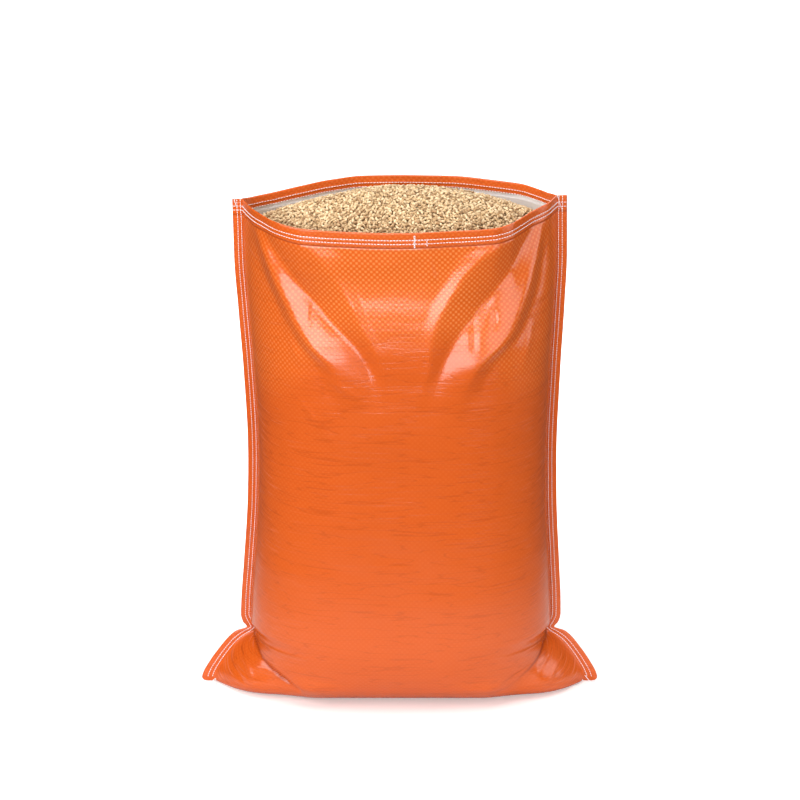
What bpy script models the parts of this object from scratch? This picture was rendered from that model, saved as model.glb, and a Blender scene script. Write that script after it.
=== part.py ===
"""An upright sack of coated woven plastic, open at the mouth and filled to the brim with grain.

The sack is one sheet: folded along the floor from ear to ear, sewn up both sides in flat seams that
stand out from the body, and hemmed around the mouth. Metres, +Z up, the front panel faces -Y.
"""

import math

import bmesh
import bpy
import numpy as np

# Driving dimensions of the filled sack
SEAM_TOP = 0.764  # height of the two side seams at the mouth
GRAIN_PEAK = 0.776  # top of the heap in the middle of the mouth
GRAIN_EDGE = 0.728  # where the heap meets the sack
FLANGE = 0.0145  # width of a side seam's flat flange
HEM = 0.022  # width of the hem folded down around the mouth
SWAY = 0.004  # how far the body leans to +X at mid height

# Half width of the sack at the outer edge of its side seams, as (height, half width)
FLANGE_EDGE = (
    (0.000, 0.2985),
    (0.006, 0.3000),
    (0.012, 0.2985),
    (0.0335, 0.2872),
    (0.0665, 0.2643),
    (0.076, 0.2560),
    (0.083, 0.2470),
    (0.0885, 0.2320),
    (0.097, 0.2380),
    (0.110, 0.2410),
    (0.130, 0.2405),
    (0.200, 0.2360),
    (0.300, 0.2300),
    (0.380, 0.2285),
    (0.500, 0.2325),
    (0.600, 0.2380),
    (0.680, 0.2415),
    (SEAM_TOP, 0.2415),
)

# Half width at the foot of the seam flange, below the pinch, where the bottom corners stand out as ears
PINCH = 0.0885
EAR_SEAM = (
    (0.000, 0.2830),
    (0.012, 0.2800),
    (0.0335, 0.2690),
    (0.0665, 0.2450),
    (0.076, 0.2340),
    (0.083, 0.2230),
    (PINCH, 0.2185),
)

PINCH_OPENS = 0.02  # height over which the seams spread again above the pinch

# Half width of the bulging body where it stands over the ears, as (height, half width)
BODY_EDGE = (
    (0.0000, 0.1050),
    (0.0262, 0.1520),
    (0.0429, 0.1820),
    (0.0574, 0.2040),
    (0.0782, 0.2170),
    (PINCH, 0.2215),
)

# Depth of one side of the body at its middle
FLOOR_DEPTH = 0.066
BODY_DEPTH = 0.134
MOUTH_DEPTH = 0.118
BOTTOM_ROUND = 0.110  # height over which the rounded bottom reaches its full depth
MOUTH_FROM = 0.50  # height from which the body narrows to its mouth

# The ears: two flat flaps of cloth beside the bottom of the body, which they meet near the floor
EAR_DEPTH = 0.080
EAR_REACH = 0.050  # from a seam inwards, over which the flap gains its depth
EAR_ROUND = 0.020  # height over which its lower edge is rounded
EAR_TAPER = 8  # power with which it thins towards the pinch
MERGE_HEIGHTS = (0.020, 0.045)  # between which the ear comes free of the body
MERGE_FROM = 0.20  # place across from which the ear runs into the body
MERGE_REACH = 0.055  # width over which it does so

# Roundness of the plan section, a superellipse, at the bottom and at the mouth
SIDE_POWER = (3.0, 2.6)
END_POWER = (2.0, 1.8)
ROUNDNESS_FROM = 0.25  # height from which one turns into the other

# Plan of the open mouth at its rim, as (place across, depth): flat in the middle, straight towards the seams
FRONT_RIM = (
    (-0.2270, 0.000),
    (-0.2140, 0.036),
    (-0.2000, 0.061),
    (-0.1790, 0.092),
    (-0.1570, 0.109),
    (-0.1380, 0.117),
    (-0.0660, 0.121),
    (0.0260, 0.122),
    (0.0790, 0.118),
    (0.1310, 0.114),
    (0.1570, 0.099),
    (0.1720, 0.080),
    (0.1890, 0.058),
    (0.2030, 0.042),
    (0.2140, 0.030),
    (0.2210, 0.014),
    (0.2270, 0.000),
)
BACK_RIM = (
    (-0.2270, 0.000),
    (-0.2215, 0.018),
    (-0.2140, 0.031),
    (-0.1890, 0.046),
    (-0.1450, 0.068),
    (-0.1020, 0.095),
    (-0.0540, 0.116),
    (0.0000, 0.119),
    (0.0460, 0.117),
    (0.0810, 0.113),
    (0.1260, 0.098),
    (0.1550, 0.086),
    (0.1790, 0.073),
    (0.2050, 0.043),
    (0.2140, 0.031),
    (0.2210, 0.016),
    (0.2270, 0.000),
)
RIM_HALF = 0.2270  # half width of those plans
RIM_FROM = 0.60  # height from which the section turns into the mouth's plan

# How far the rim hangs below the line between the seams' tops, as (place across, drop)
FRONT_SUNK = (
    (-0.2270, 0.0000),
    (-0.2000, 0.0035),
    (-0.1500, 0.0095),
    (-0.0900, 0.0140),
    (0.0000, 0.0170),
    (0.0900, 0.0162),
    (0.1400, 0.0142),
    (0.1700, 0.0106),
    (0.1900, 0.0066),
    (0.2050, 0.0038),
    (0.2270, 0.0000),
)
BACK_SUNK = (
    (-0.2270, 0.0000),
    (-0.2215, 0.0045),
    (-0.2140, 0.0070),
    (-0.1890, 0.0060),
    (-0.1450, 0.0025),
    (-0.1100, 0.0015),
    (0.0000, 0.0025),
    (0.0800, 0.0030),
    (0.1550, 0.0045),
    (0.2050, 0.0050),
    (0.2140, 0.0055),
    (0.2210, 0.0035),
    (0.2270, 0.0010),
)
TOP_TILT = 0.003  # how much higher the right seam's top stands, and how much lower the left one's
TILT_FROM = 0.30  # height from which the tilt sets in

# Drape folds of the front panel under the mouth, as (height, places, reliefs). The places are how far out
# from the middle the outer ridge, the hollow, the inner ridge and the end of the fold lie, and the reliefs
# are how far the first three of them stand out.
LEFT_FOLDS = (
    (0.480, (0.0700, 0.0300, 0.0160, 0.0080), (0.0000, 0.0000, 0.0000)),
    (0.520, (0.0860, 0.0380, 0.0220, 0.0120), (0.0030, -0.0020, 0.0005)),
    (0.551, (0.1025, 0.0470, 0.0300, 0.0190), (0.0060, -0.0065, 0.0010)),
    (0.612, (0.1489, 0.0950, 0.0580, 0.0460), (0.0075, -0.0090, 0.0030)),
    (0.670, (0.1737, 0.1450, 0.0840, 0.0630), (0.0065, -0.0080, 0.0045)),
    (0.724, (0.1972, 0.1780, 0.1180, 0.0740), (0.0030, -0.0030, 0.0035)),
    (0.764, (0.2060, 0.1960, 0.1500, 0.1050), (0.0000, 0.0000, 0.0000)),
)
RIGHT_FOLDS = (
    (0.480, (0.0800, 0.0400, 0.0260, 0.0160), (0.0000, 0.0000, 0.0000)),
    (0.520, (0.0950, 0.0480, 0.0320, 0.0220), (0.0030, -0.0020, 0.0005)),
    (0.551, (0.1119, 0.0590, 0.0400, 0.0310), (0.0060, -0.0065, 0.0010)),
    (0.612, (0.1628, 0.0980, 0.0500, 0.0345), (0.0075, -0.0090, 0.0030)),
    (0.670, (0.1821, 0.1400, 0.0780, 0.0570), (0.0065, -0.0080, 0.0045)),
    (0.724, (0.1986, 0.1770, 0.1230, 0.0850), (0.0030, -0.0030, 0.0035)),
    (0.764, (0.2060, 0.1960, 0.1600, 0.1150), (0.0000, 0.0000, 0.0000)),
)
TROUGH_OUT = 0.022  # from the outer ridge to the shallow trough outside it
TROUGH_LIMIT = 0.45  # the most of the way to the seam that the trough lies out
TROUGH_SHARE = -0.45  # relief of that trough as a share of the outer ridge's

# Thickness of the sheet, its seams and its thread
WALL = 0.0012
FLANGE_HALF = 0.0012
HEM_STEP = 0.0006
THREAD = 0.0009  # side of the square bar that stands for a row of stitches
GAP = 0.0003  # between a solid and what it rests on
GRAIN_GAP = 0.0005  # between the filling and the sheet
SHARP_ANGLE = 40.0  # degrees past which an edge is shaded sharp

# Stitch lines
SIDE_ROWS = (0.0022, 0.0075)  # from the foot of the flange outwards
HEM_ROWS = (0.0100, 0.0160)  # from the rim downwards
HEM_ROW_INSET = 0.4  # of a step, by which a row round the mouth stops short of the seams

# Fineness of the surface
PANEL_STEPS = 28
EDGE_STEPS = 6  # columns between a fold's outer trough and the seam
FOLD_COLUMNS_FROM = (0.40, 0.50)  # heights between which the columns turn from even to following the folds
FINE_STEPS = 400
HEAP_RINGS = 6

LEVELS = (
    0.0,
    0.003,
    0.009,
    0.018,
    0.030,
    0.045,
    0.060,
    0.072,
    0.081,
    PINCH,
    0.098,
    0.115,
    0.150,
    0.210,
    0.280,
    0.360,
    0.440,
    0.485,
    0.520,
    0.551,
    0.585,
    0.620,
    0.655,
    0.692,
    GRAIN_EDGE,
    SEAM_TOP - HEM - HEM_STEP,
    SEAM_TOP - HEM,
    SEAM_TOP - HEM_ROWS[1],
    SEAM_TOP - HEM_ROWS[0],
    SEAM_TOP,
)


def smooth_step(value, low, high):
    """0 below low and 1 above high, turning smoothly in between."""
    share = np.clip((value - low) / (high - low), 0.0, 1.0)
    return share * share * (3.0 - 2.0 * share)


def quarter_round(share):
    """Rises from 0 to 1 like a quarter of a circle, steeply at first."""
    return math.sqrt(1.0 - (1.0 - min(share, 1.0)) ** 2)


def along(points, places):
    """Values at these places on a smooth curve through (place, value) points, with no overshoot."""
    xs = np.array([point[0] for point in points])
    values = np.array([point[1] for point in points])
    slopes = np.diff(values) / np.diff(xs)
    tangents = np.zeros(len(points))
    tangents[0] = slopes[0]
    tangents[-1] = slopes[-1]
    for i in range(1, len(points) - 1):
        if slopes[i - 1] * slopes[i] > 0.0:
            tangents[i] = 2.0 * slopes[i - 1] * slopes[i] / (slopes[i - 1] + slopes[i])
    i = np.clip(np.searchsorted(xs, places) - 1, 0, len(points) - 2)
    span = xs[i + 1] - xs[i]
    t = (places - xs[i]) / span
    rise = (1 + 2 * t) * (1 - t) ** 2 * values[i] + t * t * (3 - 2 * t) * values[i + 1]
    return rise + span * t * (1 - t) * ((1 - t) * tangents[i] - t * tangents[i + 1])


def flange_edge(height):
    return along(FLANGE_EDGE, height)


def seam_line(height):
    """Half width at the foot of the side seam, where the front and back panels meet."""
    if height < PINCH:
        return along(EAR_SEAM, height)
    at_pinch = along(EAR_SEAM, PINCH)
    opening = smooth_step(height, PINCH, PINCH + PINCH_OPENS)
    return at_pinch + (flange_edge(height) - FLANGE - at_pinch) * opening


def lean(height):
    """How far the body's middle stands to +X at this height."""
    return SWAY * math.sin(math.pi * height / SEAM_TOP)


def top_lift(across, height):
    """How much higher than its nominal height a place stands, because the mouth tilts a little."""
    return TOP_TILT * across / FLANGE_EDGE[-1][1] * smooth_step(height, TILT_FROM, SEAM_TOP)


def body_depth(height):
    """Depth of one side of the body at its middle."""
    bulge = FLOOR_DEPTH + (BODY_DEPTH - FLOOR_DEPTH) * quarter_round(height / BOTTOM_ROUND)
    return bulge + (MOUTH_DEPTH - BODY_DEPTH) * smooth_step(height, MOUTH_FROM, SEAM_TOP)


def ear_depth(across, height):
    """Depth of one side of the sack beside the body, below the pinch."""
    depth = FLOOR_DEPTH + (EAR_DEPTH - FLOOR_DEPTH) * quarter_round(height / EAR_ROUND)
    depth *= 1.0 - (height / PINCH) ** EAR_TAPER
    ear = depth * np.tanh(np.maximum(seam_line(height) - np.abs(across), 0.0) / EAR_REACH)
    merged = 1.0 - smooth_step(height, *MERGE_HEIGHTS)
    merged = merged * smooth_step(MERGE_FROM - np.abs(across), 0.0, MERGE_REACH)
    return ear * (1.0 - merged) + body_depth(height) * merged


def half_depth(across, height, side):
    """Depth of one side of the sack, at places across the panel and at one height."""
    seam = seam_line(height)
    half = seam if height >= PINCH else along(BODY_EDGE, height)
    blend = smooth_step(height, ROUNDNESS_FROM, SEAM_TOP)
    side_power = SIDE_POWER[0] + (SIDE_POWER[1] - SIDE_POWER[0]) * blend
    end_power = END_POWER[0] + (END_POWER[1] - END_POWER[0]) * blend
    inside = np.clip(1.0 - (np.abs(across) / half) ** side_power, 0.0, 1.0)
    body = body_depth(height) * inside ** (1.0 / end_power)
    if height >= RIM_FROM:
        plan = along(FRONT_RIM if side < 0 else BACK_RIM, across * RIM_HALF / seam)
        share = smooth_step(height, RIM_FROM, SEAM_TOP)
        body = body * (1.0 - share) + plan * share
    if height >= PINCH:
        return np.maximum(body, 0.0)
    return np.maximum(body, ear_depth(across, height))


def fold_knots(height, table):
    """Places out from the middle where the folds of one half bend, and their relief there."""
    places = [float(along([(row[0], row[1][k]) for row in table], height)) for k in (3, 2, 1, 0)]
    reliefs = [float(along([(row[0], row[2][k]) for row in table], height)) for k in (2, 1, 0)]
    seam = seam_line(height)
    ridge = places[-1]
    trough = ridge + min(TROUGH_OUT, TROUGH_LIMIT * (seam - ridge))
    return [*places, trough, seam], [0.0, *reliefs, TROUGH_SHARE * reliefs[-1], 0.0]


def fold_relief(across, height):
    """How far the folds stand out at places across the front panel."""
    if height <= LEFT_FOLDS[0][0]:
        return np.zeros_like(across)
    left = np.interp(-across, *fold_knots(height, LEFT_FOLDS))
    right = np.interp(across, *fold_knots(height, RIGHT_FOLDS))
    return np.where(across < 0.0, left, right)


def fold_columns(height, table):
    """Places of one half's columns, from the middle to the seam, with one on each bend of the folds."""
    end, inner, hollow, ridge, trough, seam = fold_knots(max(height, table[0][0]), table)[0]
    before = 0.5 * (inner + hollow)
    behind = 0.5 * (hollow + ridge)
    places = [0.0, 0.5 * end, end, inner, before, hollow, behind, ridge, trough]
    for step in range(1, EDGE_STEPS + 1):
        places.append(trough + (seam - trough) * math.sin(0.5 * math.pi * step / EDGE_STEPS))
    return np.array(places)


def column_places(height, side, even):
    """Where across a panel its columns stand at one height, from the left seam to the right one."""
    share = smooth_step(height, *FOLD_COLUMNS_FROM)
    if side > 0 or share == 0.0:
        return even
    left = fold_columns(height, LEFT_FOLDS)
    right = fold_columns(height, RIGHT_FOLDS)
    following = np.concatenate([-left[:0:-1], right])
    following *= even[-1] / following[-1]
    return even * (1.0 - share) + following * share


def panel_row(height, side):
    """Points of one panel at one height, from the left seam to the right one, without the folds.

    side is -1 for the front and +1 for the back.
    """
    turn = np.linspace(-math.pi / 2, math.pi / 2, FINE_STEPS + 1)
    across = seam_line(height) * np.sin(turn)
    depth = half_depth(across, height, side) + FLANGE_HALF
    steps = np.hypot(np.diff(across), np.diff(depth))
    run = np.concatenate([[0.0], np.cumsum(steps)])
    even = np.interp(np.linspace(0.0, run[-1], PANEL_STEPS + 1), run, across)
    x = column_places(height, side, even)
    y = np.interp(x, across, depth)
    hang = along(FRONT_SUNK if side < 0 else BACK_SUNK, x * RIM_HALF / seam_line(height))
    z = height + top_lift(x, height) - hang * smooth_step(height, RIM_FROM, SEAM_TOP)
    return np.stack([x + lean(height), side * y, z], axis=1)


def panel(side):
    """The outer face of one panel, as rows of points from the floor to the rim."""
    grid = np.array([panel_row(height, side) for height in LEVELS])
    if side > 0:
        return grid
    relief = np.array([fold_relief(row[:, 0] - lean(height), height) for row, height in zip(grid, LEVELS)])
    return grid + outward_normals(grid, side) * relief[:, :, None]


def outward_normals(grid, side):
    """The direction out of the sack at each point of a panel."""
    up = np.gradient(grid, axis=0)
    across = np.gradient(grid, axis=1)
    normals = np.cross(across, up) * -side
    return normals / np.linalg.norm(normals, axis=2, keepdims=True)


def inner_face(grid, side, distance):
    """A panel moved into the sack by this distance, with its lowest row flat at that height."""
    moved = grid - outward_normals(grid, side) * distance
    moved[0, :, 0] = grid[0, :, 0] * (1.0 - distance / np.abs(grid[0, :, 0]).max())
    moved[0, :, 1] = grid[0, :, 1] - side * 0.5 * distance
    moved[0, :, 2] = distance
    moved[1:, :, 2] = np.maximum(moved[1:, :, 2], distance + GAP)
    moved[:, :, 1] = side * np.maximum(side * moved[:, :, 1], GAP)
    return moved


def hemmed(grid, side):
    """The panel with its top band thickened by the folded hem, but for its two seams."""
    thick = grid.copy()
    rows = [i for i, height in enumerate(LEVELS) if height >= SEAM_TOP - HEM]
    thick[rows, 1:-1] += (outward_normals(grid, side) * HEM_STEP)[rows, 1:-1]
    thick[rows, :, 2] = grid[rows, :, 2]
    return thick


def flange_points(side):
    """The outer edge of both flanges on one face, left and right, for each level."""
    edges = []
    for hand in (-1, 1):
        edge = []
        for height in LEVELS:
            reach = hand * flange_edge(height)
            edge.append((lean(height) + reach, side * FLANGE_HALF, height + top_lift(reach, height)))
        edges.append(np.array(edge))
    return edges


def material(name, color, roughness):
    made = bpy.data.materials.new(name)
    made.use_nodes = True
    shader = made.node_tree.nodes["Principled BSDF"]
    shader.inputs["Base Color"].default_value = (*color, 1.0)
    shader.inputs["Roughness"].default_value = roughness
    shader.inputs["Metallic"].default_value = 0.0
    return made


def add_object(name, mesh_source, finish):
    """A new object from a bmesh, with faces turned outwards and shaded smooth."""
    bmesh.ops.recalc_face_normals(mesh_source, faces=mesh_source.faces)
    bmesh.ops.triangulate(mesh_source, faces=mesh_source.faces)
    mesh = bpy.data.meshes.new(name)
    mesh_source.to_mesh(mesh)
    mesh_source.free()
    mesh.materials.append(finish)
    mesh.shade_smooth()
    mesh.set_sharp_from_angle(angle=math.radians(SHARP_ANGLE))
    made = bpy.data.objects.new(name, mesh)
    bpy.context.scene.collection.objects.link(made)
    return made


def add_ring(bm, points):
    return [bm.verts.new(point) for point in points]


def join_rings(bm, first, second):
    """Quads between two closed rings of equal length."""
    count = len(first)
    for i in range(count):
        after = (i + 1) % count
        bm.faces.new((first[i], first[after], second[after], second[i]))


def ring_of(front_row, back_row):
    """One closed ring: along the front from left to right, and back along the back."""
    return np.concatenate([front_row, back_row[::-1]])


def close_flat(bm, ring):
    """Fills a level ring with quads from its front half to its back half."""
    half = len(ring) // 2
    for i in range(half - 1):
        bm.faces.new((ring[i], ring[i + 1], ring[-2 - i], ring[-1 - i]))


def build_sack(front, back, finish):
    """The sheet as one thin-walled shell, with its seam flanges, its hem and its open mouth."""
    outer_front = hemmed(front, -1)
    outer_back = hemmed(back, 1)
    front_left, front_right = flange_points(-1)
    back_left, back_right = flange_points(1)
    inner_front = inner_face(front, -1, WALL)
    inner_back = inner_face(back, 1, WALL)
    bm = bmesh.new()
    outer = []
    inner = []
    for level in range(len(LEVELS)):
        front_row = np.vstack([front_left[level], outer_front[level], front_right[level]])
        back_row = np.vstack([back_left[level], outer_back[level], back_right[level]])
        outer.append(add_ring(bm, ring_of(front_row, back_row)))
        inner.append(add_ring(bm, ring_of(inner_front[level], inner_back[level])))
    for low, high in zip(outer, outer[1:]):
        join_rings(bm, low, high)
    for low, high in zip(inner, inner[1:]):
        join_rings(bm, high, low)
    close_flat(bm, outer[0])
    close_flat(bm, inner[0])
    close_rim(bm, outer[-1], inner[-1])
    return add_object("sack_fabric", bm, finish)


def close_rim(bm, outer, inner):
    """The top edge of the sheet: between the outer and the inner ring, and over both flanges."""
    count = PANEL_STEPS + 1
    front_outer = outer[1 : count + 1]
    back_outer = outer[count + 3 : 2 * count + 3]
    front_inner = inner[:count]
    back_inner = inner[count:]
    for outer_run, inner_run in ((front_outer, front_inner), (back_outer, back_inner)):
        for i in range(PANEL_STEPS):
            bm.faces.new((outer_run[i], outer_run[i + 1], inner_run[i + 1], inner_run[i]))
    right = (front_outer[-1], outer[count + 1], outer[count + 2], back_outer[0])
    bm.faces.new((*right, back_inner[0], front_inner[-1]))
    left = (back_outer[-1], outer[-1], outer[0], front_outer[0])
    bm.faces.new((*left, front_inner[0], back_inner[-1]))


def build_grain(front, back, finish):
    """The filling: it fits inside the sheet and rises to a heap in the mouth."""
    top = LEVELS.index(GRAIN_EDGE)
    clear = WALL + GRAIN_GAP
    front_rows = inner_face(front, -1, clear)[: top + 1]
    back_rows = inner_face(back, 1, clear)[: top + 1]
    front_rows[0, :, 2] = WALL + GAP
    back_rows[0, :, 2] = WALL + GAP
    bm = bmesh.new()
    rings = [add_ring(bm, ring_of(a, b)) for a, b in zip(front_rows, back_rows)]
    for low, high in zip(rings, rings[1:]):
        join_rings(bm, low, high)
    close_flat(bm, rings[0])
    edge = ring_of(front_rows[-1], back_rows[-1])
    centre = edge.mean(axis=0)
    below = rings[-1]
    for ring in range(1, HEAP_RINGS):
        reach = 1.0 - ring / HEAP_RINGS
        points = centre + (edge - centre) * reach
        points[:, 2] = centre[2] + (edge[:, 2] - centre[2]) * reach
        points[:, 2] += (GRAIN_PEAK - centre[2]) * (1.0 - reach**2)
        current = add_ring(bm, points)
        join_rings(bm, below, current)
        below = current
    peak = bm.verts.new((centre[0], centre[1], GRAIN_PEAK))
    for i, corner in enumerate(below):
        bm.faces.new((corner, below[(i + 1) % len(below)], peak))
    return add_object("grain_fill", bm, finish)


def build_thread(name, path, outward, finish):
    """A row of stitches as one square bar along its line, standing on the cloth."""
    path = np.array(path)
    outward = np.array(outward)
    run = np.gradient(path, axis=0)
    run /= np.linalg.norm(run, axis=1, keepdims=True)
    outward = outward - run * np.sum(run * outward, axis=1, keepdims=True)
    outward /= np.linalg.norm(outward, axis=1, keepdims=True)
    across = np.cross(run, outward)
    centre = path + outward * (GAP + THREAD / 2)
    bm = bmesh.new()
    corners = ((-1, -1), (1, -1), (1, 1), (-1, 1))
    rings = []
    for i in range(len(path)):
        offsets = [(u * across[i] + v * outward[i]) * THREAD / 2 for u, v in corners]
        rings.append(add_ring(bm, [centre[i] + offset for offset in offsets]))
    for low, high in zip(rings, rings[1:]):
        join_rings(bm, low, high)
    bm.faces.new(rings[0])
    bm.faces.new(rings[-1])
    return add_object(name, bm, finish)


def build_hem_stitches(grids, finish):
    """Two rows of stitches around the mouth, on the front panel and on the back one."""
    for place, side in (("front", -1), ("back", 1)):
        outer = hemmed(grids[place], side)
        normals = outward_normals(outer, side)
        for row, depth in zip(("upper", "lower"), HEM_ROWS):
            level = LEVELS.index(SEAM_TOP - depth)
            path = outer[level].copy()
            path[0] += (path[1] - path[0]) * HEM_ROW_INSET
            path[-1] += (path[-2] - path[-1]) * HEM_ROW_INSET
            build_thread(f"hem_stitch_{place}_{row}", path, normals[level], finish)


def build_side_stitches(finish):
    """Two rows of stitches along each side seam, on both faces of its flange."""
    for place, side in (("front", -1), ("back", 1)):
        for hand, sign in (("left", -1), ("right", 1)):
            for row, out in zip(("inner", "outer"), SIDE_ROWS):
                path = []
                for height in LEVELS[2:-1]:
                    width = flange_edge(height) - seam_line(height)
                    reach = sign * (seam_line(height) + width * out / FLANGE)
                    path.append((lean(height) + reach, side * FLANGE_HALF, height + top_lift(reach, height)))
                outward = [(0.0, float(side), 0.0)] * len(path)
                build_thread(f"side_stitch_{hand}_{place}_{row}", path, outward, finish)


def clear_scene():
    for obj in list(bpy.data.objects):
        bpy.data.objects.remove(obj, do_unlink=True)


def main():
    clear_scene()
    orange = material("coated_weave_orange", (0.82, 0.135, 0.018), 0.38)
    wheat = material("wheat_grain", (0.62, 0.43, 0.22), 0.75)
    white = material("white_thread", (0.88, 0.86, 0.86), 0.6)
    grids = {"front": panel(-1), "back": panel(1)}
    build_sack(grids["front"], grids["back"], orange)
    build_grain(grids["front"], grids["back"], wheat)
    build_hem_stitches(grids, white)
    build_side_stitches(white)


main()
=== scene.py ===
"""The looks of an open sack of coated woven plastic, full of grain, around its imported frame.

Metres, +Z up, the front panel faces -Y. Every piece rides on the one body of the frame.
"""

import math
from collections import namedtuple

import bmesh
import bpy
import numpy as np
from mathutils import Matrix, Vector


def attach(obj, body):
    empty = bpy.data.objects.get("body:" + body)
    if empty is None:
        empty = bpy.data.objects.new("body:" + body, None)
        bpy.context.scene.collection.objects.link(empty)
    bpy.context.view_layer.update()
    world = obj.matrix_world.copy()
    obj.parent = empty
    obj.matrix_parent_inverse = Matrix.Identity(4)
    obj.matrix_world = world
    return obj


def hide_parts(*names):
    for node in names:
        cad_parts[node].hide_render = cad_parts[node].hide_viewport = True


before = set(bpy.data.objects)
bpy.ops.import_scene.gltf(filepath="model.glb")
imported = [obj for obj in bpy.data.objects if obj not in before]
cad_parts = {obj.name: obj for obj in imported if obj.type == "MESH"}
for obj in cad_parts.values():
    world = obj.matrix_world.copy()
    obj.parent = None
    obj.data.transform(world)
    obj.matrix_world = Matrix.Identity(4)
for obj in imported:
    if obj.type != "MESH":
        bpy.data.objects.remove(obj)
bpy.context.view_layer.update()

# Shape of the filled sack, the same as the part's
SEAM_TOP = 0.764
GRAIN_PEAK = 0.776
GRAIN_EDGE = 0.728
FLANGE = 0.0145
HEM = 0.022
SWAY = 0.004
PINCH = 0.0885
PINCH_OPENS = 0.02  # height over which the seams spread again above it
# Half width out to the free edge of the side seams, by height
FLANGE_EDGE = (
    (0.000, 0.2985), (0.006, 0.3000), (0.012, 0.2985), (0.0335, 0.2872), (0.0665, 0.2643), (0.076, 0.2560),
    (0.083, 0.2470), (PINCH, 0.2320), (0.097, 0.2380), (0.110, 0.2410), (0.130, 0.2405), (0.200, 0.2360),
    (0.300, 0.2300), (0.380, 0.2285), (0.500, 0.2325), (0.600, 0.2380), (0.680, 0.2415), (SEAM_TOP, 0.2415),
)
# Half width out to the foot of the seams at the ears
EAR_SEAM = (
    (0.000, 0.2830), (0.012, 0.2800), (0.0335, 0.2690), (0.0665, 0.2450), (0.076, 0.2340), (0.083, 0.2230),
    (PINCH, 0.2185),
)
# Half width of the bulging body where it stands over the ears
BODY_EDGE = (
    (0.0000, 0.1050), (0.0262, 0.1520), (0.0429, 0.1820), (0.0574, 0.2040), (0.0782, 0.2170), (PINCH, 0.2215),
)
BODY_DEPTH = 0.134
MOUTH_DEPTH = 0.118
BOTTOM_ROUND = 0.110
EAR_DEPTH = 0.080
EAR_REACH = 0.050
EAR_CLOSING = 8  # how late the ear thins out towards the pinch
SIDE_POWER = (3.0, 2.6)
END_POWER = (2.0, 1.8)
POWER_FROM = 0.25
FLANGE_HALF = 0.0012
SIDE_ROWS = (0.0022, 0.0075)
HEM_ROWS = (0.0100, 0.0160)
TOP_TILT = 0.003  # how much higher the right seam's top stands, and how much lower the left one's
TILT_FROM = 0.30
RIM_FROM = 0.60  # height from which the section turns into the mouth's plan
# Plan of the open mouth at its rim, as (place across, depth): flat in the middle, straight towards the seams
FRONT_RIM = (
    (-0.227, 0.000), (-0.214, 0.036), (-0.200, 0.061), (-0.179, 0.092), (-0.157, 0.109), (-0.138, 0.117),
    (-0.066, 0.121), (0.026, 0.122), (0.079, 0.118), (0.131, 0.114), (0.157, 0.099), (0.172, 0.080),
    (0.189, 0.058), (0.203, 0.042), (0.214, 0.030), (0.221, 0.014), (0.227, 0.000),
)
BACK_RIM = (
    (-0.227, 0.000), (-0.2215, 0.018), (-0.214, 0.031), (-0.189, 0.046), (-0.145, 0.068), (-0.102, 0.095),
    (-0.054, 0.116), (0.000, 0.119), (0.046, 0.117), (0.081, 0.113), (0.126, 0.098), (0.155, 0.086),
    (0.179, 0.073), (0.205, 0.043), (0.214, 0.031), (0.221, 0.016), (0.227, 0.000),
)
RIM_HALF = 0.227
# How far the rim hangs below the line between the seams' tops, as (place across, drop)
FRONT_SUNK = (
    (-0.227, 0.0000), (-0.200, 0.0035), (-0.150, 0.0095), (-0.090, 0.0140), (0.000, 0.0170), (0.090, 0.0162),
    (0.140, 0.0142), (0.170, 0.0106), (0.190, 0.0066), (0.205, 0.0038), (0.227, 0.0000),
)
BACK_SUNK = (
    (-0.227, 0.0000), (-0.2215, 0.0045), (-0.214, 0.0070), (-0.189, 0.0060), (-0.145, 0.0025),
    (-0.110, 0.0015), (0.000, 0.0025), (0.080, 0.0030), (0.155, 0.0045), (0.205, 0.0050), (0.214, 0.0055),
    (0.221, 0.0035), (0.227, 0.0010),
)

# Where the cloth is a little softer than the part: at the floor, under the mouth, and where the ears round
# off and run into the body
FLOOR_DEPTH = 0.048
EAR_FLOOR_DEPTH = 0.042
FOOT_ROUND = 0.004
MOUTH_FROM = 0.51
EAR_ROUND = 0.030  # height over which the ear's lower edge is rounded
EAR_MERGE = (0.030, 0.056)  # heights between which the ear comes free of the body
EAR_MERGE_FROM = 0.188  # place across from which the ear runs into the body
EAR_MERGE_RUN = 0.070
EAR_SHARE_MOST = 0.80  # of the body's depth where it meets the ear
LIP_ROUND = 0.0024

# The cloth
SHEET = 0.0008  # thickness of the sheet
HEM_STEP = 0.0007  # how far the folded hem lifts either face
INSIDE_BAND = 0.0168  # depth of the orange fold seen inside the mouth
TAPE = 0.00405  # width of one woven tape
DOTS_FROM = (0.585, 0.49)  # height from which the raised tapes show, in the middle and at the sides
CLOSEST = 0.0003  # how close the panels come to the plane between them
INNER_CLOSEST = 0.0002
INNER_SHRINK = (0.045, 0.2, 0.0)  # how much smaller the hidden part of the inner face is
INNER_FLOOR = 0.003
LIP_RISE = 0.0009  # how far the rim's crest stands over both faces
# Unevenness of a filled sack: start and rise of the hills, their width and height, and the seed added
UNEVENNESS = ((3.1, 0.0012, 0.110, 0.070, 0), (1.7, 0.0005, 0.060, 0.022, 10))
# Waves of the seams' free edges: start, size, pitch and the seed added
FLANGE_WAVES = ((2.0, 0.0016, 0.055, 21), (5.0, 0.0004, 0.016, 22))

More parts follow.
